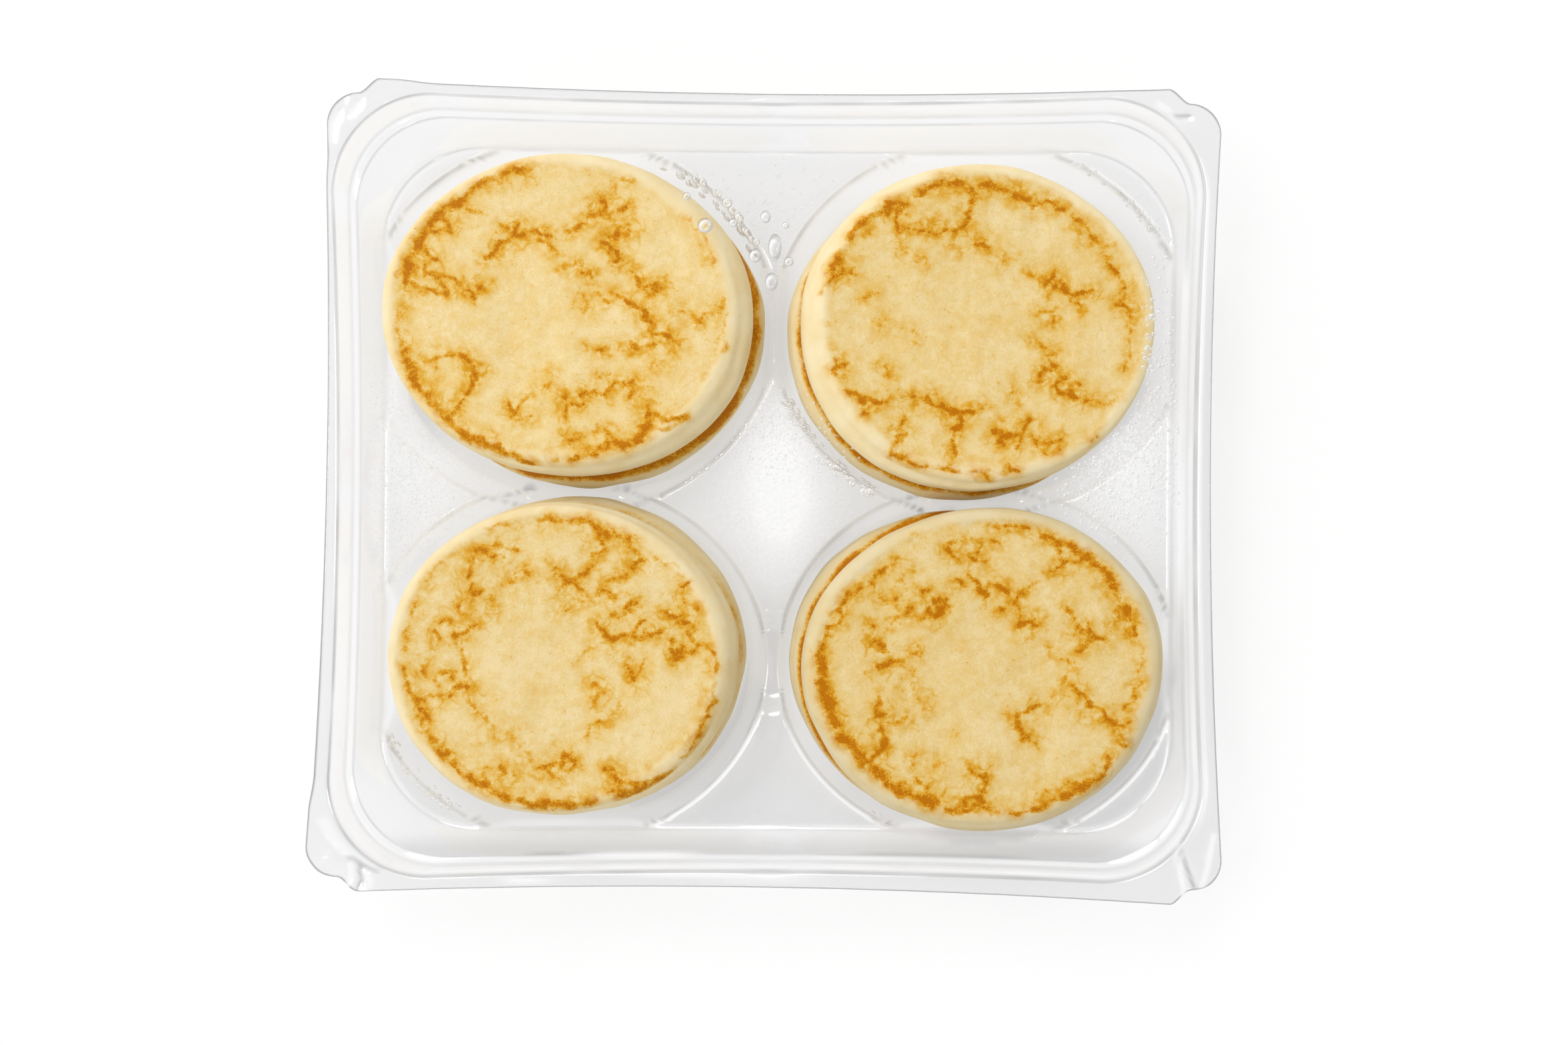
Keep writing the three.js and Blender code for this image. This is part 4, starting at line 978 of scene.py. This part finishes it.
class Rim:
    """A blini's outline, taken from its solid as a smooth distance from its middle for each angle."""

    HARMONICS = 8

    def __init__(self, node):
        low, high = (np.array(corner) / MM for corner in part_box(node))
        points = node_points(node)
        self.foot, self.thick = low[2], high[2] - low[2]
        self.middle = (low[:2] + high[:2]) / 2
        level = low[2] + self.thick / 2
        ring = points[np.abs(points[:, 2] - level) < 0.02 * self.thick, :2] - self.middle
        angle = np.arctan2(ring[:, 1], ring[:, 0])
        self.terms = np.linalg.lstsq(self.waves(angle), np.hypot(ring[:, 0], ring[:, 1]), rcond=None)[0]

    def waves(self, angle):
        angle = np.asarray(angle)
        turns = [np.ones(angle.shape)]
        for k in range(1, self.HARMONICS + 1):
            turns += [np.cos(k * angle), np.sin(k * angle)]
        return np.stack(turns, axis=-1)

    def reach(self, angle):
        return self.waves(angle) @ self.terms


def side_profile(count):
    """The side's profile as smooth (inset, share) steps from the top face to the underside."""
    knots = np.array(BLINI_SIDE, dtype=float)
    padded = np.vstack((2 * knots[0] - knots[1], knots, 2 * knots[-1] - knots[-2]))
    steps = []
    for t in np.linspace(0, len(knots) - 1, count):
        i = min(int(t), len(knots) - 2)
        u = t - i
        a, b, c, d = padded[i : i + 4]
        curve = (2 * a - 5 * b + 4 * c - d) * u**2 + (3 * b - a - 3 * c + d) * u**3
        steps.append((2 * b + (c - a) * u + curve) / 2)
    return np.array(steps)


# How strokes are laid: the step along them, how much wider than its lace a stroke's veil is, how many steps
# apart twigs grow, and a twig's half width.
STROKE_STEP, VEIL_WIDER, TWIG_EVERY, TWIG_WIDTH = 0.5, 2.3, 8, 0.65


def stroke_path(points, rng):
    """A stroke's points filled in, swaying a little to each side, with its heading and strength at each."""
    lengths = np.hypot(*np.diff(points, axis=0).T)
    along = np.concatenate(([0], np.cumsum(lengths)))
    count = max(2, int(along[-1] / STROKE_STEP))
    at = np.linspace(0, along[-1], count)
    path = np.column_stack([np.interp(at, along, points[:, k]) for k in (0, 1)])
    heading = np.gradient(path, axis=0)
    heading /= np.maximum(np.hypot(heading[:, :1], heading[:, 1:]), 1e-6)
    row = np.full(count, rng.uniform(0, 90))
    sway = 0.45 * wander(at, row, 2.2, 77)
    fade = 0.88 + 0.3 * wander(at, row, 2.4, 78)
    return path + np.column_stack((-heading[:, 1], heading[:, 0])) * sway[:, None], heading, fade


def lace_field(x, y, strokes, seed):
    """How browned each point of a face is: the drawn strokes, with short twigs growing from them."""
    rng = np.random.default_rng(seed)
    warp_x = 0.6 * wander(x, y, 3.1, seed + 1) + 0.3 * wander(x, y, 1.5, seed + 2)
    warp_y = 0.6 * wander(x, y, 3.1, seed + 3) + 0.3 * wander(x, y, 1.5, seed + 4)
    at = np.column_stack((x + warp_x, y + warp_y))
    bare = np.ones(len(x))
    veil = np.zeros(len(x))

    def lay(path, strengths, width):
        reach = 2 * (width + VEIL_WIDER)
        low, high = path.min(axis=0) - reach, path.max(axis=0) + reach
        near = np.flatnonzero(np.all((at > low) & (at < high), axis=1))
        if not len(near):
            return
        glow, halo = np.zeros(len(near)), np.zeros(len(near))
        for point, strength in zip(path, strengths):
            apart = np.sum((at[near] - point) ** 2, axis=1)
            glow = np.maximum(glow, strength * np.exp(-apart / width**2))
            halo = np.maximum(halo, strength * np.exp(-apart / (width + VEIL_WIDER) ** 2))
        bare[near] *= 1 - np.minimum(glow, 0.97)
        veil[near] = np.maximum(veil[near], halo)

    for kind, *numbers in strokes:
        strength, width = KINDS[kind]
        path, heading, fade = stroke_path(pairs(numbers), rng)
        lay(path, strength * fade, width)
        if kind == "veil":
            continue
        for i in range(rng.integers(1, 4), len(path), TWIG_EVERY):
            turn = rng.choice((-1, 1)) * rng.uniform(0.6, 1.6)
            start = np.arctan2(heading[i, 1], heading[i, 0]) + turn
            reach = np.arange(0.4, rng.uniform(1.2, 3.4), 0.4)
            bend = start + 0.8 * np.sin(reach * rng.uniform(0.6, 1.6))
            twig = path[i] + np.column_stack((reach * np.cos(bend), reach * np.sin(bend)))
            lay(twig, np.full(len(twig), strength * rng.uniform(0.35, 0.7)), TWIG_WIDTH)
    return 1 - bare, veil


def face_mesh(rim, angle, inset, spacing):
    """Points and triangles of a flat top face, whose edge lies inset inside the rim."""
    reach = rim.reach(angle)
    inner = hex_grid(np.max(reach), np.max(reach), spacing)
    inner_reach = rim.reach(np.arctan2(inner[:, 1], inner[:, 0]))
    inner = inner[np.hypot(inner[:, 0], inner[:, 1]) < inner_reach - inset - 0.5 * spacing]
    boundary = np.column_stack((np.cos(angle), np.sin(angle))) * (reach - inset)[:, None]
    flat, faces = triangulated(boundary, inner)
    assert len(flat) == len(boundary) + len(inner)
    return flat, faces


def face_height(rim, flat, lean, seed):
    """Height of a top face: dished, bumpy, and a little lower towards its edge."""
    out = np.hypot(flat[:, 0], flat[:, 1]) / rim.reach(np.arctan2(flat[:, 1], flat[:, 0]))
    x, y = (flat + lean).T
    bumps = 0.28 * wander(x, y, 13, seed + 5) + 0.12 * wander(x, y, 5, seed + 6)
    bumps += 0.05 * wander(x, y, 1.6, seed + 7)
    dish = BLINI_DISH * (1 - out**2)
    return rim.thick - dish + bumps * ease(-out, -1.0, -0.7) - 0.2 * ease(out, 0.55, 0.88)


def side_rings(rim, angle, profile, lean, seed):
    """Rings of points down the side, which bulges, is creased round its middle and has shallow ridges."""
    circle = np.column_stack((np.cos(angle), np.sin(angle)))
    crease = 0.42 + 0.1 * wander(*(18 * circle.T), 9, seed + 8)
    deep = 0.5 + 0.5 * wander(*(30 * circle.T), 11, seed + 9)
    swell = 0.3 * wander(*(40 * circle.T), 8, seed + 10)
    rings = []
    for inset, share in profile:
        ridge = deep * ease(1 - share, 0.01, 0.12) * np.sin(2 * math.pi * (4.2 * share + 4 * crease))
        groove = 0.45 * deep * bell(share, crease, 0.07) + 0.14 * ridge
        out = rim.reach(angle) - inset + swell * math.sin(math.pi * share) - groove
        ring = out[:, None] * circle + lean * ease(share, 0.45, 1.0)
        rise = 0.15 * wander(*ring.T, 9, seed + 11) - 0.12 * ridge
        rings.append(np.column_stack((ring, (rim.thick + rise) * share)))
    return rings


def blini_mesh(rim, fine, lean, seed):
    """A blini's points, from the middle of its underside, and its faces: top, side and underside."""
    angle = np.arange(fine.rim) * 2 * math.pi / fine.rim
    profile = side_profile(fine.side)
    flat, faces = face_mesh(rim, angle, profile[0][0], fine.spacing)
    top = np.column_stack((flat + lean, face_height(rim, flat, lean, seed)))
    rings = side_rings(rim, angle, profile[1:], lean, seed)
    points = np.vstack([top] + rings + [np.zeros((1, 3))])
    starts = [0] + [len(top) + fine.rim * i for i in range(len(rings))]
    rows = [start + np.arange(fine.rim) for start in starts]
    for above, below in zip(rows, rows[1:]):
        faces += np.column_stack((above, below, np.roll(below, -1), np.roll(above, -1))).tolist()
    foot = np.full(fine.rim, len(points) - 1)
    faces += np.column_stack((rows[-1], foot, np.roll(rows[-1], -1))).tolist()
    return points, faces


def upper_browning(x, y, edge, stack, seed):
    """(lace, veil) on an upper blini: its strokes, and a faint ring inside its edge."""
    shift_x, shift_y = STACKS[stack].stroke_shift
    lace, veil = lace_field(x - shift_x, y - shift_y, BROWNING[stack], seed + 20)
    return lace, np.maximum(veil, 0.3 * bell(edge, 4.8, 1.6))


def lower_browning(x, y, rim, stack, seed):
    """(lace, veil) on a lower blini: its baked top is brown along the edge of the blini that lies on it, and
    this brown is also painted shadow under that edge.
    """
    cover, contact = Rim(f"blini_{stack}_upper"), STACKS[stack].contact
    from_x, from_y = x + rim.middle[0] - cover.middle[0], y + rim.middle[1] - cover.middle[1]
    bared = np.hypot(from_x, from_y) - cover.reach(np.arctan2(from_y, from_x))
    lace = contact * (1.1 + 0.6 * wander(x, y, 5, seed + 12)) * bell(bared, -0.4, 1.6)
    return lace, 0.6 * contact * bell(bared, 0, 2.6)


def make_blini(stack, layer, seed, batter):
    node, traits, upper = f"blini_{stack}_{layer}", STACKS[stack], layer == "upper"
    rim = Rim(node)
    if not upper:
        rim.middle = rim.middle + traits.slip
    lean = np.array(traits.lean if upper else (0.0, 0.0))
    points, faces = blini_mesh(rim, FINENESS[layer], lean, seed)
    x, y, z = points.T
    edge = rim.reach(np.arctan2(y - lean[1], x - lean[0])) - np.hypot(x - lean[0], y - lean[1])
    pale = 4.4 + 0.9 * wander(x, y, 5, seed + 14) + 0.6 * wander(x, y, 1.8, seed + 15)
    side = ease(pale - edge, -1.4, 1.8)
    if upper:
        lace, veil = upper_browning(x, y, edge, stack, seed)
    else:
        lace, veil = lower_browning(x, y, rim, stack, seed)
    on_top = z > (0.8 if upper else 0.6) * rim.thick
    veil = np.clip(veil + 0.16 * wander(x, y, 7, seed + 13), 0, 1)
    # Painted light and shade: each stack's sides are lighter or darker by their own tone.
    tone = mix(traits.tone, traits.side_tone, side)
    tone = mix(tone, 0.65 * traits.tone + 0.35, np.clip(lace, 0, 1) * on_top)
    looks = {"lace": lace * on_top, "veil": veil * on_top, "side": side, "tone": tone}
    looks["raw"] = np.full(len(x), traits.raw)
    piece = mesh_object(f"{node}_baked", points + (*rim.middle, rim.foot), faces, batter, looks)
    return add_piece(piece, node)


# Water drops.

# A drop's rings, from its foot up, as (share of its radius, share of its rise), and how many sides it has.
DOME_RINGS = [(1.0, -0.02), (0.93, 0.4), (0.68, 0.78)]
DROP_SIDES, MIST_SIDES = 14, 6
# How far drops rise for their radius: along brims, alone and in a cluster under the film, and as mist.
BRIM_RISE, FILM_RISE, CLUSTER_RISE, DECK_MIST_RISE, FILM_MIST_RISE = 0.5, 0.3, 0.4, 0.55, 0.45
DROP_SEED, MIST_SEED = 40, 41


def dome(centre, normal, radius, rise, stretch, sides):
    """A low closed dome of water standing on a surface along its normal."""
    normal = normal / np.linalg.norm(normal)
    across = np.cross(normal, (0, 1, 0) if abs(normal[1]) < 0.9 else (1, 0, 0))
    across /= np.linalg.norm(across)
    along = np.cross(normal, across)
    angle = np.arange(sides) * 2 * math.pi / sides
    ring = np.outer(np.cos(angle), across) + stretch * np.outer(np.sin(angle), along)
    points = [centre + radius * out * ring + rise * up * normal for out, up in DOME_RINGS]
    points += [[centre + rise * normal], [centre + rise * DOME_RINGS[0][1] * normal]]
    rows = [i * sides + np.arange(sides) for i in range(len(DOME_RINGS))]
    faces = []
    for low, high in zip(rows, rows[1:]):
        faces += np.column_stack((low, np.roll(low, -1), np.roll(high, -1), high)).tolist()
    top, foot = np.full(sides, len(rows) * sides), np.full(sides, len(rows) * sides + 1)
    faces += np.column_stack((rows[-1], np.roll(rows[-1], -1), top)).tolist()
    faces += np.column_stack((np.roll(rows[0], -1), rows[0], foot)).tolist()
    return np.vstack(points), faces


def joined_domes(name, drops, material, sides):
    points, faces, start = [], [], 0
    for drop in drops:
        more, rings = dome(*drop, sides)
        points.append(more)
        faces += [tuple(start + i for i in face) for face in rings]
        start += len(more)
    return add_piece(mesh_object(name, np.vstack(points), faces, material))


def tray_drops(x, y, radius, rise):
    """Drops on the tray's upper face, as (foot, normal, radius, rise, stretch)."""
    step = 0.3
    here, right, up = soft_height(x, y), soft_height(x + step, y), soft_height(x, y + step)
    normal = np.column_stack(((here - right) / step, (here - up) / step, np.ones(len(x))))
    return list(zip(np.column_stack((x, y, here)), normal, radius, radius * rise, np.ones(len(x))))


def film_drops(x, y, radius, rise, stretch=None):
    """Drops hanging under the film, as (foot, normal, radius, rise, stretch)."""
    down = np.tile((0.0, 0.0, -1.0), (len(x), 1))
    stretch = np.ones(len(x)) if stretch is None else stretch
    return list(zip(np.column_stack((x, y, film_height(x, y))), down, radius, radius * rise, stretch))


# Drops along a well's brim as (side in X, side in Y, first and last angle in degrees, least and most distance
# outside the brim, count, least and most radius).
BRIM_DROPS = [
    (-1, 1, 22, 66, -1.2, 1.4, 44, 0.5, 1.5), (1, 1, 200, 240, -0.6, 2.4, 90, 0.4, 1.1),
    (1, 1, 30, 62, -0.4, 1.0, 30, 0.3, 0.7), (-1, -1, 205, 240, -0.5, 1.5, 60, 0.2, 0.55),
    (1, -1, 238, 285, -0.5, 1.5, 60, 0.2, 0.5), (-1, 1, 300, 330, 0.2, 1.6, 24, 0.25, 0.6),
]
# Single drops under the film as (x, y, radius, length over width along Y).
FILM_DROPS = [
    (-16.4, 65.8, 1.9, 1.0), (-4.0, 58.4, 1.6, 1.1), (0.9, 60.5, 1.7, 2.0), (0.1, 52.0, 1.6, 1.4),
    (4.4, 57, 1.2, 1.0), (-9.5, 66.5, 1.1, 1.0), (-1.5, 68.0, 1.3, 1.2), (3.5, 66.0, 0.9, 1.0),
    (-21.0, 73.0, 1.0, 1.0),
]
# A cluster of drops under the film, beside the rear right stack.
CLUSTER_X, CLUSTER_SPREAD, CLUSTER_Y, CLUSTER_RADIUS, CLUSTER_COUNT = 93.5, 1.0, (30, 54), (0.3, 0.7), 34


def make_drops(water):
    """Drops along the wells' brims and under the film."""
    rng = np.random.default_rng(DROP_SEED)
    drops = []
    for side_x, side_y, start, end, near, far, count, least, most in BRIM_DROPS:
        angle = np.radians(rng.uniform(start, end, count))
        out = rng.uniform(near, far, count)
        well = WELLS[side_x, side_y]
        x, y = well.x + (well.top[0] + out) * np.cos(angle), well.y + (well.top[1] + out) * np.sin(angle)
        radius = rng.uniform(least, most, count)
        kept = gap(DECK_EDGE, x, y) < -1
        drops += tray_drops(x[kept], y[kept], radius[kept], BRIM_RISE)
    x, y, radius, stretch = np.array(FILM_DROPS).T
    drops += film_drops(x, y, radius, FILM_RISE, stretch)
    x, y = rng.normal(CLUSTER_X, CLUSTER_SPREAD, CLUSTER_COUNT), rng.uniform(*CLUSTER_Y, CLUSTER_COUNT)
    drops += film_drops(x, y, rng.uniform(*CLUSTER_RADIUS, CLUSTER_COUNT), CLUSTER_RISE)
    return joined_domes("drops", drops, water, DROP_SIDES)


# Fine droplets on the deck as (middle x, middle y, spread x, spread y, count), and under the film, beside the
# blini, also with their least and most radius.
DECK_MIST = [
    (88, 4, 12, 13, 300), (-90, 6, 9, 24, 500), (0, 17, 6, 8, 700), (60, -86, 22, 3, 420),
    (12, 12, 6, 8, 300), (-58, -86, 26, 3, 260), (0, 66, 13, 9, 500), (95, 40, 4, 24, 200),
]
FILM_MIST = [
    (86, 9, 8, 11, 900, 0.22, 0.5), (95, 34, 2.5, 14, 160, 0.25, 0.6), (-89, 6, 6, 17, 800, 0.14, 0.3),
    (8, 14, 8, 6, 160, 0.15, 0.35), (62, -88, 16, 2, 160, 0.2, 0.4),
]


def make_condensation(water):
    """Fine droplets on the deck and under the film."""
    rng = np.random.default_rng(MIST_SEED)
    drops = []
    for middle_x, middle_y, spread_x, spread_y, count in DECK_MIST:
        x, y = rng.normal(middle_x, spread_x, count), rng.normal(middle_y, spread_y, count)
        kept = (soft_height(x, y) > DECK_LEVEL - 0.8) & (gap(DECK_EDGE, x, y) < -1)
        radius = 0.12 + 0.32 * rng.random(kept.sum()) ** 2
        drops += tray_drops(x[kept], y[kept], radius, DECK_MIST_RISE)
    for middle_x, middle_y, spread_x, spread_y, count, least, most in FILM_MIST:
        x, y = rng.normal(middle_x, spread_x, count), rng.normal(middle_y, spread_y, count)
        kept = (beside_blini(x, y) > 0.8) & (gap(DECK_EDGE, x, y) < -0.5)
        drops += film_drops(x[kept], y[kept], rng.uniform(least, most, kept.sum()), FILM_MIST_RISE)
    return joined_domes("condensation", drops, water, MIST_SIDES)


# The studio.

FLOOR_HALF, FLOOR_HEIGHT, FLOOR_GLOW = 6000, -0.1, 0.5
# The world: its strength, how much weaker it is to the right, and its brightness as (height, level).
WORLD_STRENGTH, WORLD_SLOPE = 0.66, 0.42
SKY = [(0.0, 0.95), (0.2, 1.0), (0.45, 1.0), (0.82, 0.85), (0.93, 0.3), (1.0, 0.1)]


def make_floor():
    """A pale light table, lit from above and faintly from below."""
    s = Shader("studio_floor")
    grain = s.noise(s.place(), 300, 1)
    white = s.blend(grain, (0.49, 0.49, 0.49, 1), (0.51, 0.51, 0.51, 1))
    inputs = {"Base Color": white, "Roughness": 0.95, "Specular IOR Level": 0.0}
    inputs |= {"Emission Color": (1, 1, 1, 1), "Emission Strength": FLOOR_GLOW}
    material = s.finish(s.add("BsdfPrincipled", inputs))
    turns = ((-1, -1), (1, -1), (1, 1), (-1, 1))
    corners = [(side_x * FLOOR_HALF, side_y * FLOOR_HALF, FLOOR_HEIGHT) for side_x, side_y in turns]
    floor = mesh_object("floor", corners, [(0, 1, 2, 3)], material)


def make_world():
    """Soft light from all round, more from the left: dark straight overhead, where the camera is, and
    brightest low down."""
    world = bpy.data.worlds.new("studio")
    bpy.context.scene.world = world
    world.use_nodes = True
    nodes, links = world.node_tree.nodes, world.node_tree.links
    nodes.clear()
    place = nodes.new("ShaderNodeTexCoord")
    split = nodes.new("ShaderNodeSeparateXYZ")
    ramp = nodes.new("ShaderNodeValToRGB")
    sky = nodes.new("ShaderNodeBackground")
    output = nodes.new("ShaderNodeOutputWorld")
    stops = ramp.color_ramp.elements
    stops[0].position, stops[1].position = 0.0, 1.0
    for position, level in SKY:
        stop = stops[0] if position == 0 else stops[-1] if position == 1 else stops.new(position)
        stop.color = (level, level, level, 1)
    slope = nodes.new("ShaderNodeMath")
    slope.operation = "MULTIPLY_ADD"
    slope.inputs[1].default_value = -WORLD_SLOPE * WORLD_STRENGTH
    slope.inputs[2].default_value = WORLD_STRENGTH
    links.new(place.outputs["Generated"], split.inputs[0])
    links.new(split.outputs["Z"], ramp.inputs[0])
    links.new(split.outputs["X"], slope.inputs[0])
    links.new(slope.outputs[0], sky.inputs["Strength"])
    links.new(ramp.outputs[0], sky.inputs["Color"])
    links.new(sky.outputs[0], output.inputs[0])


# Soft lights as (name, direction they come from, strength, spread in degrees).
LIGHTS = [
    ("key_left", (-0.8, 0.32, 1.0), 0.55, 30), ("key_rear", (-0.26, 0.8, 1.0), 0.8, 30),
    ("left_strip", (-0.6, 0.03, 1.0), 0.36, 12), ("right_strip", (0.62, 0.05, 1.0), 0.24, 12),
    ("front_glint", (0.1, -0.6, 1.0), 0.06, 6),
]


def make_lights():
    for name, source, strength, spread in LIGHTS:
        data = bpy.data.lights.new(name, "SUN")
        data.energy, data.angle = strength, math.radians(spread)
        lamp = bpy.data.objects.new(name, data)
        lamp.rotation_euler = Vector(source).to_track_quat("Z", "Y").to_euler()
        bpy.context.scene.collection.objects.link(lamp)


def make_camera():
    data = bpy.data.cameras.new("camera")
    data.sensor_fit = "HORIZONTAL"
    data.sensor_width = SENSOR_WIDTH
    data.lens = SENSOR_WIDTH * FOCAL_PIXELS / IMAGE_WIDTH
    data.shift_x = (IMAGE_WIDTH / 2 - AXIS_PIXEL[0]) / IMAGE_WIDTH
    data.shift_y = (AXIS_PIXEL[1] - IMAGE_HEIGHT / 2) / IMAGE_WIDTH
    data.clip_start, data.clip_end = 0.01, 20
    camera = bpy.data.objects.new("camera", data)
    camera.location = Vector(CAMERA_PLACE) * MM
    camera.rotation_euler = (0, 0, CAMERA_ROLL)
    bpy.context.scene.collection.objects.link(camera)
    bpy.context.scene.camera = camera


scene = bpy.context.scene
scene.view_settings.view_transform = "Standard"
scene.cycles.transparent_max_bounces = 24
scene.cycles.max_bounces = 4
scene.cycles.diffuse_bounces = 2
scene.cycles.glossy_bounces = 2
make_camera()
make_world()
make_lights()
make_floor()
make_tray()
film = make_film()
batter = batter_material()
for index, stack in enumerate(BROWNING):
    for layer, offset in (("lower", 0), ("upper", 50)):
        make_blini(stack, layer, 100 * (index + 1) + offset, batter)
water = water_material()
# Clear film and water cast no shadow and are left out of bounced light.
for piece in (film, make_drops(water), make_condensation(water)):
    piece.visible_shadow = False
    piece.visible_diffuse = False
    piece.visible_glossy = False
